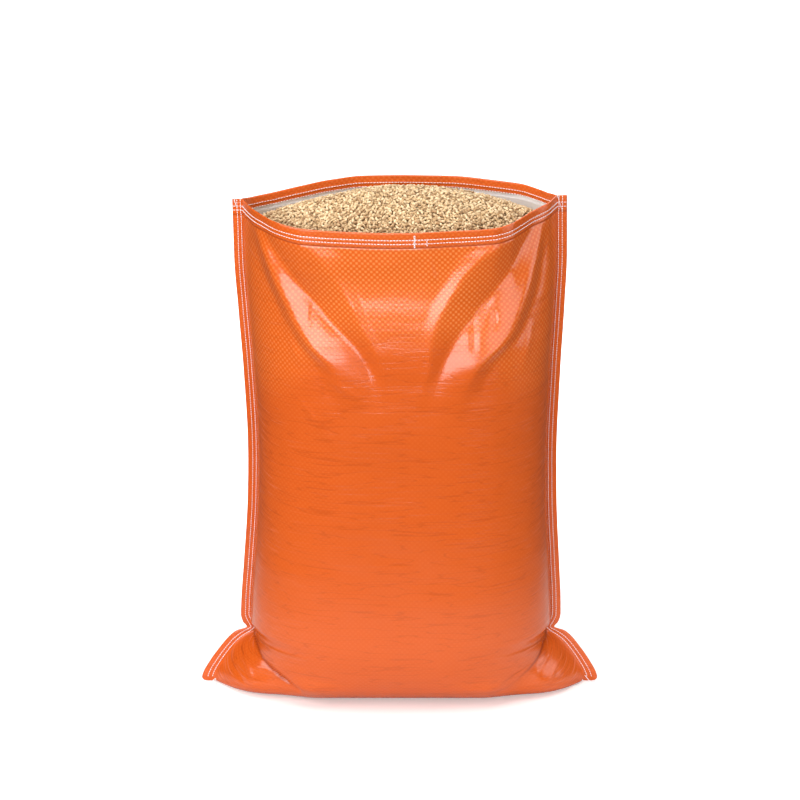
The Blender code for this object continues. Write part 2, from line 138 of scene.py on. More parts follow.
# Drape folds of the front panel under the mouth: for each height, how far out from the middle the outer
# ridge, the hollow, the inner ridge and the end of the fold lie
LEFT_FOLDS = (
    (0.764, (0.2060, 0.1960, 0.1500, 0.1050)),
    (0.742, (0.2030, 0.1930, 0.1380, 0.0990)),
    (0.724, (0.1972, 0.1840, 0.1180, 0.0740)),
    (0.698, (0.1862, 0.1670, 0.1000, 0.0700)),
    (0.670, (0.1737, 0.1480, 0.0840, 0.0630)),
    (0.641, (0.1613, 0.1230, 0.0690, 0.0545)),
    (0.612, (0.1489, 0.1000, 0.0580, 0.0460)),
    (0.585, (0.1335, 0.0720, 0.0440, 0.0330)),
    (0.551, (0.1025, 0.0470, 0.0300, 0.0190)),
    (0.520, (0.0860, 0.0380, 0.0220, 0.0120)),
    (0.480, (0.0700, 0.0300, 0.0160, 0.0080)),
)
RIGHT_FOLDS = (
    (0.764, (0.2060, 0.1960, 0.1600, 0.1150)),
    (0.742, (0.2030, 0.1930, 0.1500, 0.1110)),
    (0.724, (0.1986, 0.1800, 0.1230, 0.0850)),
    (0.696, (0.1911, 0.1640, 0.0950, 0.0710)),
    (0.667, (0.1821, 0.1430, 0.0780, 0.0570)),
    (0.638, (0.1731, 0.1200, 0.0620, 0.0440)),
    (0.610, (0.1628, 0.0980, 0.0500, 0.0345)),
    (0.583, (0.1481, 0.0750, 0.0430, 0.0320)),
    (0.550, (0.1119, 0.0590, 0.0400, 0.0310)),
    (0.520, (0.0950, 0.0480, 0.0320, 0.0220)),
    (0.480, (0.0800, 0.0400, 0.0260, 0.0160)),
)
# Relief of the outer ridge, the hollow and the inner ridge at each row of both tables
FOLD_RELIEF = (
    (0.0000, 0.0000, 0.0000),
    (0.0014, -0.0014, 0.0015),
    (0.0034, -0.0034, 0.0035),
    (0.0054, -0.0055, 0.0045),
    (0.0065, -0.0080, 0.0045),
    (0.0075, -0.0095, 0.0040),
    (0.0075, -0.0090, 0.0030),
    (0.0070, -0.0085, 0.0020),
    (0.0060, -0.0065, 0.0010),
    (0.0030, -0.0020, 0.0005),
    (0.0000, 0.0000, 0.0000),
)
TROUGH_OUT = 0.022  # from the outer ridge to the shallow trough outside it
TROUGH_LIMIT = 0.45  # the most of the way to the seam that the trough lies out
TROUGH_SHARE = -0.45  # relief of that trough as a share of the outer ridge's
# Shifts and weights by which the folds' lines are rounded
FOLD_ROUNDING = (
    (-0.006, 0.06), (-0.004, 0.12), (-0.002, 0.20), (0.0, 0.24), (0.002, 0.20), (0.004, 0.12), (0.006, 0.06),
)
# Small creases of the front panel: from and to as (place across, height), relief and half width
CREASES = (
    ((-0.1268, 0.6443), (-0.1294, 0.6061), -0.0010, 0.0030),
    ((0.1345, 0.6300), (0.1345, 0.5980), -0.0012, 0.0042),
    ((0.1056, 0.6190), (0.1030, 0.5700), -0.0012, 0.0044),
    ((-0.1469, 0.4927), (-0.0940, 0.4306), 0.0012, 0.0032),
    ((0.0395, 0.7280), (0.0480, 0.6810), 0.0012, 0.0040),
    ((-0.1120, 0.5330), (-0.0580, 0.5020), 0.0012, 0.0040),
    ((-0.1700, 0.6100), (-0.1450, 0.5450), 0.0016, 0.0060),
    ((0.1900, 0.6000), (0.1750, 0.5300), 0.0014, 0.0060),
    ((-0.2360, 0.0560), (-0.2200, 0.0300), 0.0012, 0.0030),
    ((-0.2520, 0.0380), (-0.2250, 0.0140), -0.0012, 0.0032),
    ((0.2450, 0.0560), (0.2200, 0.0250), 0.0012, 0.0032),
    ((0.2300, 0.0680), (0.2060, 0.0420), -0.0012, 0.0034),
    ((-0.2050, 0.0610), (-0.1470, 0.0250), -0.0056, 0.0030),
    ((-0.2010, 0.0520), (-0.1600, 0.0255), 0.0008, 0.0032),
    ((0.2000, 0.0600), (0.1500, 0.0360), -0.0024, 0.0036),
    ((0.1980, 0.0500), (0.1520, 0.0290), 0.0014, 0.0045),
)
# Painted shade in the crevices between the body and the ears: points as (place across, height, darkness), and
# the half width
CREVICES = (
    (((-0.2215, 0.0905, 0.50), (-0.2175, 0.0782, 0.85), (-0.2080, 0.0660, 0.60), (-0.1960, 0.0545, 0.90),
      (-0.1770, 0.0415, 1.00), (-0.1470, 0.0250, 0.00)), 0.0021),
    (((0.2225, 0.0905, 0.45), (0.2185, 0.0782, 0.70), (0.2100, 0.0660, 0.75), (0.1950, 0.0530, 0.60),
      (0.1750, 0.0380, 0.00)), 0.0022),
)

# The thread
THREAD = 0.0010
LOOSE_THREAD = 0.0011
LOOSE_STEPS = 14
THREAD_SIDES = 6
# The rings of one stitch: how far along it, lift and width as shares of the thread's thickness
STITCH_RINGS = ((0.0, -0.35, 0.55), (0.22, 0.55, 1.0), (0.78, 0.55, 1.0), (1.0, -0.35, 0.55))
# Pitch of a row of stitches, the gap between two of them and how far their ends wander to the side
HEM_STITCH = (0.0044, 0.0007, 0.00012)
CROSSING_STITCH = (0.0042, 0.0007, 0.00012)
SIDE_STITCH = (0.0036, 0.0006, 0.00012)
BAR_STITCH = (0.0024, 0.0002, 0.0005)
CORNER_STITCH = (0.0026, 0.0002, 0.0004)
TACK_POINTS = 9
SIDE_ROW_FROM = 0.006
# Place across, and depths below the rim of the top and the bottom
BAR_TACKS = ((0.0205, 0.0030, 0.0225), (0.0216, 0.0030, 0.0225), (0.0386, 0.0090, 0.0200))
TACK_LIFT = 0.0003
CORNER_TACK = ((0.2275, 0.7670), (0.2350, 0.7435))
# Loose ends of thread, as (place across, depth, height)
LOOSE_LEFT = (
    ((-0.2355, -0.0024, 0.7500), (-0.2385, -0.0026, 0.7640), (-0.2345, -0.0028, 0.7700),
     (-0.2290, -0.0026, 0.7630)),
    ((-0.2740, -0.0022, 0.0090), (-0.2850, -0.0060, 0.0012), (-0.2970, -0.0120, 0.0006),
     (-0.3080, -0.0100, 0.0006)),
    ((-0.2790, -0.0020, 0.0060), (-0.2780, -0.0180, 0.0008), (-0.2700, -0.0300, 0.0006)),
)
LOOSE_RIGHT = (
    ((0.2810, -0.0022, 0.0090), (0.2900, -0.0070, 0.0010), (0.3010, -0.0060, 0.0006),
     (0.3110, -0.0020, 0.0006)),
    ((0.2790, -0.0020, 0.0060), (0.2730, -0.0160, 0.0008), (0.2620, -0.0220, 0.0006)),
)

# The grain
KERNELS = 9500
KERNEL_LENGTH = 0.0064
KERNEL_WIDTH = 0.53  # as a share of its length
KERNEL_RINGS = ((-0.38, 0.70), (-0.14, 1.0), (0.14, 0.98), (0.38, 0.64))  # places along and widths
KERNEL_ROUND = (0.265, 0.250)  # half width and half height of a kernel of unit length
KERNEL_ACROSS = 0.51  # what that kernel's width counts as when it is sized
KERNEL_SIDES = 6
KERNEL_LENGTHS = (0.86, 1.12)  # least and most, as shares
KERNEL_WIDTHS = (0.92, 1.08)
KERNEL_PICKS = 6  # places that are compared for each kernel, of which it takes the lowest
KERNEL_LEVER = 0.42  # share of its length over which it feels the slope
KERNEL_REST = 78  # percent of the ground under it that lies below it
KERNEL_LIFT = 0.36  # its centre over that ground, as a share of its width
KERNEL_CREST = 0.44  # its top over its centre
KERNEL_TIP = 0.75  # the steepest that a kernel lies
KERNEL_ROLL = 0.5
KERNEL_MISSES = 400
KERNEL_OVER = 0.0012  # how far a kernel's centre may stand over the heap's surface
HEAP_SPAN = ((-0.232, 0.240), (-0.124, 0.124))
HEAP_CELL = 0.0006
HEAP_WINDOW = 6  # cells beside a kernel's centre that it can cover
HEAP_STRETCH = 2.0  # how many times wider than deep the heap is taken to be
GROUND_BELOW = 0.0062
GROUND_ROUGH = 0.0010
BED_BELOW = 0.0048
BED_RINGS = 14
BED_GAP = 0.0045  # between the bed and the inner face
BED_SHRINK = (0.06, 0.26, 0.0)  # how much smaller its hidden part is
BED_CLOSEST = 0.0004
BED_FLOOR = 0.008

# Fineness of the meshes
FRONT_STEPS = 280
BACK_STEPS = 140
FLANGE_SHARES = (0.15, 0.33, 0.52, 0.75, 0.93)  # columns across a flange, from its foot
FINE_STEPS = 600
LINING_FROM = 0.70  # height from which the inner face is fine
HIDDEN_TO = 0.66  # height up to which the inner face is drawn in, under the grain
SEED = 7
NOISE_GRID = (97, 89)

# Where the parts of one ring of the outer face start: the left tip at 0 and its flange, the front, the right
# flange, its tip and the flange again, the back and the left flange again
COLUMNS = len(FLANGE_SHARES)
FRONT_AT = 1 + COLUMNS
RIGHT_TIP_AT = FRONT_AT + FRONT_STEPS + 1 + COLUMNS
BACK_AT = RIGHT_TIP_AT + 1 + COLUMNS
RING = BACK_AT + BACK_STEPS + 1 + COLUMNS
INNER_FRONT = FRONT_STEPS // 2 + 1
INNER_RING = INNER_FRONT + BACK_STEPS // 2 + 1

# Colours of the cloth's finish, and of the glints, sheen and shade painted on it
GROUND_TIGHT = (0.62, 0.094, 0.0095)
GROUND_SLACK = (0.68, 0.106, 0.0105)
# Pale raised tapes: partly the film's own whitening over them, partly painted glints
PALE_TAPE_GLINT = (0.80, 0.27, 0.066)
# Painted sheen: pinkish streaks of reflected light beside the seams
SEAM_SHEEN = (0.78, 0.26, 0.140)
# Painted shade along the fine creases
CREASE_SHADE = (0.35, 0.043, 0.005)
# Painted shade in the crevices by the ears and along the hem's lower edge
PAINTED_SHADE = (0.22, 0.022, 0.003)

# The stage
PAPER_GLOW = (0.24, 0.90)  # how much the paper shines by itself, at the sack and far from it
PAPER_GLOW_REACH = (0.25, 1.10)
PAPER_SEEN = (0.94, 0.94, 0.94)
# Painted pool of light for all but the camera's rays: the paper's colour near the sack, and far from it
PAPER_POOL = (0.76, 0.76, 0.76)
PAPER_FAR = (0.08, 0.08, 0.08)
POOL_EDGE = (0.42, 0.84)  # distances between which the paper turns dim for what the sack mirrors
PAPER_CORNERS = ((-7, -7, 0), (7, -7, 0), (7, 9, 0), (-7, 9, 0))
LIT_FROM = (0.0, 0.0, 0.42)  # what the soft boxes below are aimed at
# Soft boxes, as turn from the front to the right, elevation, distance, size and radiance
SOFT_BOXES = (
    ("front_left", -11.5, 11.0, 4.8, (3.2, 1.75), 7.6),
    ("front_right", 33.0, 8.0, 4.8, (2.7, 2.1), 3.1),
    ("key_left", -55.0, 25.0, 2.2, (1.3, 1.3), 5.6),
    ("right", 80.0, 10.0, 2.2, (1.2, 1.2), 2.6),
    ("behind", 165.0, 38.0, 2.4, (1.6, 1.4), 3.4),
)
# Place, target, size and radiance
OVERHEAD = ((0.0, -0.3, 2.4), (0.0, 0.0, 0.4), (1.6, 1.6), 4.8)
BACKDROP = ((0.0, 4.0, 3.2), (0.0, 4.0, 0.0), (6.0, 4.5), 0.9)
WORLD_STRENGTH = 0.01
LENS = 152.73
SENSOR = 36.0
CAMERA_PLACE = (0.0006, -4.6985, 2.1628)
CAMERA_PITCH = 70.0

# One panel of the cloth: -1 for the front or 1 for the back, its points and outward normals as rows from the
# floor to the rim, and the place of each point on the flat cloth
Panel = namedtuple("Panel", "side points normals flat")


def smooth_step(value, low, high):
    share = np.clip((value - low) / (high - low), 0.0, 1.0)
    return share * share * (3.0 - 2.0 * share)


def between(ends, share):
    return ends[0] + (ends[1] - ends[0]) * share


def quarter_round(share):
    """Height of a quarter circle of unit radius at this share of its width."""
    return math.sqrt(1.0 - (1.0 - share) ** 2)


def dent(place, middle, half_width):
    """1 at the middle of a groove or line, fading to 0 beside it."""
    return np.exp(-(((place - middle) / half_width) ** 2))


def along(points, places):
    """Values at these places on a smooth curve through (place, value) points, with no overshoot."""
    xs = np.array([point[0] for point in points])
    values = np.array([point[1] for point in points])
    slopes = np.diff(values) / np.diff(xs)
    tangents = np.zeros(len(points))
    tangents[0] = slopes[0]
    tangents[-1] = slopes[-1]
    for i in range(1, len(points) - 1):
        if slopes[i - 1] * slopes[i] > 0.0:
            tangents[i] = 2.0 * slopes[i - 1] * slopes[i] / (slopes[i - 1] + slopes[i])
    i = np.clip(np.searchsorted(xs, places) - 1, 0, len(points) - 2)
    span = xs[i + 1] - xs[i]
    t = (places - xs[i]) / span
    rise = (1 + 2 * t) * (1 - t) ** 2 * values[i] + t * t * (3 - 2 * t) * values[i + 1]
    return rise + span * t * (1 - t) * ((1 - t) * tangents[i] - t * tangents[i + 1])


def lengths_along(points):
    """How far along a line of points each of them lies."""
    return np.concatenate([[0.0], np.cumsum(np.linalg.norm(np.diff(points, axis=0), axis=1))])


def soft_max(a, b, blend):
    """The larger of two values, rounded where they meet."""
    share = np.clip(0.5 + 0.5 * (a - b) / blend, 0.0, 1.0)
    return b + (a - b) * share + blend * share * (1.0 - share)


def soft_noise(a, b, size_a, size_b, seed):
    """Smooth random hills between -1 and 1, of the given sizes along the two coordinates."""
    grid = np.random.default_rng(seed).uniform(-1.0, 1.0, NOISE_GRID)
    rows, columns = NOISE_GRID
    i = np.floor(a / size_a).astype(int)
    j = np.floor(b / size_b).astype(int)
    s = smooth_step(a / size_a - i, 0.0, 1.0)
    t = smooth_step(b / size_b - j, 0.0, 1.0)
    near, far = (
        grid[i % rows, k % columns] * (1 - s) + grid[(i + 1) % rows, k % columns] * s for k in (j, j + 1)
    )
    return near * (1 - t) + far * t


def lean(height):
    return SWAY * math.sin(math.pi * height / SEAM_TOP)


def flange_edge(height):
    return along(FLANGE_EDGE, height)


def foot_inset(height):
    """How far the cloth turns under at the floor."""
    low = max(FOOT_ROUND - height, 0.0)
    return FOOT_ROUND - math.sqrt(FOOT_ROUND**2 - low**2)


def free_edge(height, hand):
    """Place across of a side seam's free edge."""
    return lean(height) + hand * (flange_edge(height) - foot_inset(height))


def seam_line(height):
    """Half width at the foot of the side seam, where the front and back panels meet."""
    if height < PINCH:
        return along(EAR_SEAM, height)
    at_pinch = along(EAR_SEAM, PINCH)
    opening = smooth_step(height, PINCH, PINCH + PINCH_OPENS)
    return at_pinch + (flange_edge(height) - FLANGE - at_pinch) * opening


def top_lift(across, height):
    """How much higher than its nominal height a place stands, because the mouth tilts a little."""
    return TOP_TILT * across / FLANGE_EDGE[-1][1] * smooth_step(height, TILT_FROM, SEAM_TOP)


def body_depth(height):
    bulge = between((FLOOR_DEPTH, BODY_DEPTH), quarter_round(min(height / BOTTOM_ROUND, 1.0)))
    return bulge + (MOUTH_DEPTH - BODY_DEPTH) * smooth_step(height, MOUTH_FROM, SEAM_TOP)


def section_depth(out, half_width, full, powers):
    """Depth of a rounded section of this half width and full depth, at distances out from its middle."""
    inside = np.clip(1.0 - (out / half_width) ** powers[0], 0.0, 1.0)
    return full * inside ** (1.0 / powers[1])


def half_depth(across, height, side):
    """Depth of one side of the sack, at places across the panel and at one height."""
    out = np.abs(across)
    seam = seam_line(height)
    blend = smooth_step(height, POWER_FROM, SEAM_TOP)
    powers = (between(SIDE_POWER, blend), between(END_POWER, blend))
    full = body_depth(height)
    if height < PINCH:
        return ear_half_depth(out, height, seam, full, powers)
    body = section_depth(out, seam, full, powers)
    if height >= RIM_FROM:
        plan = along(FRONT_RIM if side < 0 else BACK_RIM, across * RIM_HALF / seam)
        share = smooth_step(height, RIM_FROM, SEAM_TOP)
        body = body * (1.0 - share) + np.maximum(plan, 0.0) * share
    return body


def ear_half_depth(out, height, seam, full, powers):
    """The same below the pinch, where the body bulges over the flat ears and meets them on BODY_EDGE."""
    ear_depth = between((EAR_FLOOR_DEPTH, EAR_DEPTH), quarter_round(min(height / EAR_ROUND, 1.0)))
    ear_depth *= 1.0 - (height / PINCH) ** EAR_CLOSING
    edge = along(BODY_EDGE, height)
    at_edge = min(ear_depth * math.tanh(max(seam - edge, 0.0) / EAR_REACH) / full, EAR_SHARE_MOST)
    half = edge / (1.0 - at_edge ** powers[1]) ** (1.0 / powers[0])
    body = section_depth(out, half, full, powers)
    ear = ear_depth * np.tanh(np.maximum(seam - out, 0.0) / EAR_REACH)
    merged = 1.0 - smooth_step(height, *EAR_MERGE)
    merged = merged * smooth_step(EAR_MERGE_FROM - out, 0.0, EAR_MERGE_RUN)
    return soft_max(body, ear, LIP_ROUND) * (1.0 - merged) + full * merged


def levels():
    """Heights of the rings of the cloth: close together in the hem and the ears."""
    foot = [0.0, 0.0008, 0.002, 0.004, 0.0065]
    ears = list(np.linspace(0.009, 0.112, 56))
    low = list(np.linspace(0.118, 0.47, 42))
    folds = list(np.linspace(0.475, SEAM_TOP - 0.028, 62))
    hem = list(np.linspace(SEAM_TOP - 0.026, SEAM_TOP, 25))
    return np.array(foot + ears + low + folds + hem)


LEVELS = levels()
GRAIN_LEVEL = int(np.argmin(np.abs(LEVELS - GRAIN_EDGE)))


def bare_panel(side, steps):
    """The outer face of one panel without its folds, and its place on the flat cloth."""
    turn = np.linspace(-math.pi / 2, math.pi / 2, FINE_STEPS + 1)
    rows = []
    widths = []
    for height in LEVELS:
        seam = seam_line(height)
        across = seam * np.sin(turn)
        depth = np.maximum(half_depth(across, height, side), 0.0) + FLANGE_HALF
        runs = np.concatenate([[0.0], np.cumsum(np.hypot(np.diff(across), np.diff(depth)))])
        even = np.linspace(0.0, runs[-1], steps + 1)
        x = np.interp(even, runs, across)
        y = np.interp(even, runs, depth)
        hang = along(FRONT_SUNK if side < 0 else BACK_SUNK, x * RIM_HALF / seam)
        sunk = hang * smooth_step(height, RIM_FROM, SEAM_TOP) - top_lift(x, height)
        inset = foot_inset(height)
        x = x * (1.0 - inset / seam) + lean(height)
        rows.append(np.stack([x, side * np.maximum(y - inset, CLOSEST), height - sunk], axis=1))
        widths.append(even - runs[-1] / 2)
    points = np.array(rows)
    lengths = lengths_along(points[:, steps // 2])
    flat = np.stack([np.array(widths), np.repeat(lengths[:, None], steps + 1, axis=1)], axis=2)
    return points, flat


def outward_normals(points, side):
    up = np.gradient(points, axis=0)
    across = np.gradient(points, axis=1)
    normals = np.cross(across, up) * -side
    return normals / np.linalg.norm(normals, axis=2, keepdims=True)


def fold_relief(out, height, table):
    """Relief of the drape folds on one half of the front panel, at distances out from its middle.

    Each fold is flat between its lines and rounded over a few millimetres along them.
    """
    if height < table[-1][0]:
        return np.zeros_like(out)
    heights = [row[0] for row in table[::-1]]
    lines = [row[1] for row in table[::-1]]
    ridge, hollow, inner, end = (
        float(along(list(zip(heights, line)), height)) for line in zip(*lines)
    )
    at_ridge, at_hollow, at_inner = (
        float(along(list(zip(heights, line)), height)) for line in zip(*FOLD_RELIEF[::-1])
    )
    seam = seam_line(height)
    trough = ridge + min(TROUGH_OUT, TROUGH_LIMIT * (seam - ridge))
    knots = (end, inner, hollow, ridge, trough, seam)
    values = (0.0, at_inner, at_hollow, at_ridge, TROUGH_SHARE * at_ridge, 0.0)
    return sum(weight * np.interp(out + shift, knots, values) for shift, weight in FOLD_ROUNDING)


def crease_relief(x, height):
    """Relief of the small creases at places across the front panel and one height."""
    relief = np.zeros_like(x)
    for (x0, z0), (x1, z1), rise, half_width in CREASES:
        length = math.hypot(x1 - x0, z1 - z0)
        share = ((x - x0) * (x1 - x0) + (height - z0) * (z1 - z0)) / length**2
        off = ((x - x0) * (z1 - z0) - (height - z0) * (x1 - x0)) / length
        fading = np.clip(share * (1.0 - share) * 4.0, 0.0, 1.0) ** 0.6
        relief += rise * fading * dent(off, 0.0, half_width)
    return relief


def rim_profile(below):
    """Lift of the hem's face and the pull of its two stitch rows, at depths below the rim."""
    lift = HEM_STEP * (1.0 - smooth_step(below, HEM - 0.0012, HEM + 0.0004))
    lift -= 0.0005 * dent(below, HEM + 0.0012, 0.0014)
    for row in HEM_ROWS:
        lift -= 0.0004 * dent(below, row, 0.0013)
    return lift


def dressed_panel(side, steps):
    """One panel with its folds, its hem and the unevenness of a filled sack."""
    points, flat = bare_panel(side, steps)
    relief = np.zeros(points.shape[:2])
    for i, height in enumerate(LEVELS):
        x = points[i, :, 0] - lean(height)
        if side < 0:
            left = fold_relief(-x, height, LEFT_FOLDS)
            right = fold_relief(x, height, RIGHT_FOLDS)
            relief[i] += np.where(x < 0.0, left, right) + crease_relief(x, height)
        relief[i] += rim_profile(SEAM_TOP - height)
    u = flat[:, :, 0]
    v = flat[:, :, 1]
    edge = 1.0 - np.abs(np.linspace(-1.0, 1.0, steps + 1)) ** 6
    above = smooth_step(v, 0.10, 0.30)
    for start, rise, width, tall, seed in UNEVENNESS:
        relief += edge * above * rise * soft_noise(u + start, v, width, tall, SEED + seed + side)
    points = points + outward_normals(points, side) * relief[:, :, None]
    points[:, :, 1] = side * np.maximum(side * points[:, :, 1], CLOSEST)
    return Panel(side, points, outward_normals(points, side), flat)


def end_column(panel, hand):
    """The panel's points at the foot of the left (-1) or the right (1) seam."""
    return panel.points[:, 0 if hand < 0 else -1]


def flange_wave(height, hand):
    """Sideways waviness of a seam's free edge."""
    waves = [
        size * soft_noise(np.array([height]), np.array([start + hand]), pitch, 1.0, SEED + seed)[0]
        for start, size, pitch, seed in FLANGE_WAVES
    ]
    return smooth_step(height, 0.0, 0.02) * sum(waves)


def flange_columns(panel, hand):
    """Points across one face of a side flange for each level, from the column after its foot to its edge."""
    foot = end_column(panel, hand)[:, 0]
    columns = []
    for share in FLANGE_SHARES:
        puff = 0.0004 * (1.0 - abs(2.0 * share - 1.0))
        for row in SIDE_ROWS:
            puff -= 0.00045 * dent(share * FLANGE, row, 0.0012)
        thin = 0.65 if share == FLANGE_SHARES[-1] else 1.0
        column = []
        for i, height in enumerate(LEVELS):
            width = free_edge(height, hand) - foot[i]
            x = foot[i] + width * share
            half = (FLANGE_HALF + puff) * thin * min(abs(width) / 0.006, 1.0)
            y = panel.side * half + flange_wave(height, hand) * share
            column.append((x, y, height + top_lift(x, height)))
        columns.append(column)
    return np.array(columns).transpose(1, 0, 2)


def flange_tips(hand):
    """The free edge of a side flange, one point for each level."""
    tips = []
    for height in LEVELS:
        x = free_edge(height, hand)
        tips.append((x, flange_wave(height, hand), height + top_lift(x, height)))
    return np.array(tips)


def ring_faces(first, rows, ring, outwards=True):
    """Quads between successive rings of points."""
    i = np.arange(ring)
    after = (i + 1) % ring
    faces = []
    for low in range(first, first + (rows - 1) * ring, ring):
        high = low + ring
        quads = [low + i, low + after, high + after, high + i]
        if not outwards:
            quads = [quads[0], quads[3], quads[2], quads[1]]
        faces.append(np.stack(quads, axis=1))
    return np.concatenate(faces).tolist()


def strip_faces(low, high):
    """Quads between two rows of equally many points."""
    return [(low[i], low[i + 1], high[i + 1], high[i]) for i in range(len(low) - 1)]


def seam_faces(fine, coarse, outwards=True):
    """Triangles between a fine row and one with half as many steps, both in the same direction."""
    faces = []
    for j in range(len(coarse) - 1):
        faces.append((fine[2 * j], coarse[j], fine[2 * j + 1]))
        faces.append((fine[2 * j + 1], coarse[j], coarse[j + 1]))
        faces.append((fine[2 * j + 1], coarse[j + 1], fine[2 * j + 2]))
    return faces if outwards else [face[::-1] for face in faces]


def flange_caps(offset):
    """Faces across the end of both flanges, between their front and back columns."""
    faces = []
    left = (0, FRONT_AT, RING - COLUMNS - 1)
    right = (RIGHT_TIP_AT, BACK_AT, RIGHT_TIP_AT - COLUMNS - 1)
    for tip, first, second in (left, right):
        pairs = [(offset + first - k, offset + second + k) for k in range(COLUMNS + 1)]
        for near, far in zip(pairs, pairs[1:]):
            faces.append((*near, far[1], far[0]))
        faces.append((*pairs[-1], offset + tip))
    return faces


def mesh_piece(name, points, faces, finishes, face_finish=None, flat=None, values=None):
    """A new smooth object from points and faces, with places on the flat cloth and values for its points."""
    mesh = bpy.data.meshes.new(name)
    mesh.from_pydata(np.asarray(points).tolist(), [], faces)
    for finish in finishes:
        mesh.materials.append(finish)
    if face_finish is not None:
        mesh.polygons.foreach_set("material_index", np.asarray(face_finish, np.int32))
    if flat is not None:
        layer = mesh.uv_layers.new(name="cloth")
        corner = np.empty(len(mesh.loops), np.int32)
        mesh.loops.foreach_get("vertex_index", corner)
        layer.data.foreach_set("uv", np.asarray(flat, np.float32)[corner].ravel())
    for key, value in (values or {}).items():
        attribute = mesh.attributes.new(key, "FLOAT", "POINT")
        attribute.data.foreach_set("value", np.asarray(value, np.float32))
    mesh.shade_smooth()
    mesh.update()
    made = bpy.data.objects.new(name, mesh)
    bpy.context.scene.collection.objects.link(made)
    return made


def turn_faces_out(piece):
    shape = bmesh.new()
    shape.from_mesh(piece.data)
    bmesh.ops.recalc_face_normals(shape, faces=shape.faces)
    shape.to_mesh(piece.data)
    shape.free()


def inner_levels():
    """Indexes of the levels that the inner face has: all of them near the mouth, few down in the grain."""
    low = [i for i, height in enumerate(LEVELS) if height < LINING_FROM]
    neck = [i for i in low if abs(LEVELS[i] - PINCH) < 0.014]
    return sorted(set(low[::8] + neck)) + list(range(len(low), len(LEVELS)))


def inner_offset(height):
    """How far the inner face lies inside the outer one, the hem's fold included."""
    below = SEAM_TOP - height
    return SHEET + 2.0 * HEM_STEP * (1.0 - smooth_step(below, INSIDE_BAND - 0.0006, INSIDE_BAND + 0.0006))


def hidden_share(height):
    """1 where the inside is hidden by the grain, 0 where it can be seen."""
    return 1.0 - smooth_step(height, HIDDEN_TO, LINING_FROM)


def inside_of(panel):
    """The inner face of a panel, at the inner levels, clear of the middle plane and off the floor."""
    side = panel.side
    rows = []
    for i in inner_levels():
        hidden = hidden_share(LEVELS[i])
        row = panel.points[i] - panel.normals[i] * inner_offset(LEVELS[i])
        row = row * (1.0 - np.array(INNER_SHRINK) * hidden)
        row[:, 1] = side * np.maximum(side * row[:, 1], INNER_CLOSEST)
        if i == 0:
            row = panel.points[0] * (0.985, 1.0, 1.0)
            row[:, 1] = side * np.maximum(side * row[:, 1] - 0.005, INNER_CLOSEST)
            row[:, 2] = INNER_FLOOR
        if LEVELS[i] > SEAM_TOP - 0.001:
            row[:, 2] = panel.points[i, :, 2]
        rows.append(row)
    return np.array(rows)


def outer_rings(front, back):
    """The cloth's outer points, one ring for each level, their flat places and distances in from the seam."""
    left_front, right_front = (flange_columns(front, hand) for hand in (-1, 1))
    left_back, right_back = (flange_columns(back, hand) for hand in (-1, 1))
    left_tip, right_tip = (flange_tips(hand) for hand in (-1, 1))
    reach = np.array(FLANGE_SHARES) * FLANGE
    beyond = np.zeros(COLUMNS)
    points = []
    flat = []
    seam = []
    for i in range(len(LEVELS)):
        points.append(np.vstack([
            left_tip[i][None], left_front[i][::-1], front.points[i], right_front[i],
            right_tip[i][None], right_back[i][::-1], back.points[i][::-1], left_back[i],
        ]))
        front_u = front.flat[i, :, 0]
        back_u = back.flat[i, ::-1, 0]
        front_half = front_u[-1]
        back_half = back_u[0]
        u = np.concatenate([
            [-front_half - FLANGE], -front_half - reach[::-1], front_u, front_half + reach,
            [front_half + FLANGE], back_half + reach[::-1], back_u, -back_half - reach,
        ])
        flat.append(np.stack([u, np.full_like(u, front.flat[i, 0, 1])], axis=1))
        seam.append(np.concatenate([
            [0.0], beyond, front_half - np.abs(front_u), beyond,
            [0.0], beyond, back_half - np.abs(back_u), beyond,
        ]))
    return np.concatenate(points), np.concatenate(flat), np.concatenate(seam)


def sheet_faces(start, chosen, crest_start):
    """Runs of faces of the cloth, each with 0 for the orange or 1 for the white finish, and the rim's points.

    The outer rings start at 0, the inner ones at start, and the rim's crest at crest_start.
    """
    front_row = np.arange(FRONT_AT, FRONT_AT + FRONT_STEPS + 1)
    back_row = np.arange(BACK_AT, BACK_AT + BACK_STEPS + 1)
    inner_row = start + np.arange(INNER_RING)
    runs = [(ring_faces(0, len(LEVELS), RING), 0)]
    for n in range(len(chosen) - 1):
        middle = 0.5 * (LEVELS[chosen[n]] + LEVELS[chosen[n + 1]])
        ring = ring_faces(start + n * INNER_RING, 2, INNER_RING, outwards=False)
        runs.append((ring, 0 if middle > SEAM_TOP - INSIDE_BAND else 1))
    runs.append((seam_faces(front_row, back_row[::-1]), 0))
    runs.append(([face[::-1] for face in flange_caps(0)], 0))
    runs.append((seam_faces(inner_row[:INNER_FRONT], inner_row[INNER_FRONT:][::-1], outwards=False), 1))
    top = (len(LEVELS) - 1) * RING
    rim = top + np.concatenate([front_row, back_row])
    crest = crest_start + np.arange(len(rim))
    lip = inner_row + (len(chosen) - 1) * INNER_RING
    half = len(front_row)
    for part, lip_part in (
        (slice(0, half), slice(0, INNER_FRONT)),
        (slice(half, None), slice(INNER_FRONT, None)),
    ):
        runs.append((strip_faces(rim[part], crest[part]), 0))
        runs.append((seam_faces(crest[part], lip[lip_part]), 0))
    for a, b, c, d in ((half - 1, half, INNER_FRONT - 1, INNER_FRONT), (-1, 0, -1, 0)):
        runs.append(([(rim[a], rim[b], crest[b], crest[a]), (crest[a], crest[b], lip[d], lip[c])], 0))
    runs.append((flange_caps(top), 0))
    return runs, rim


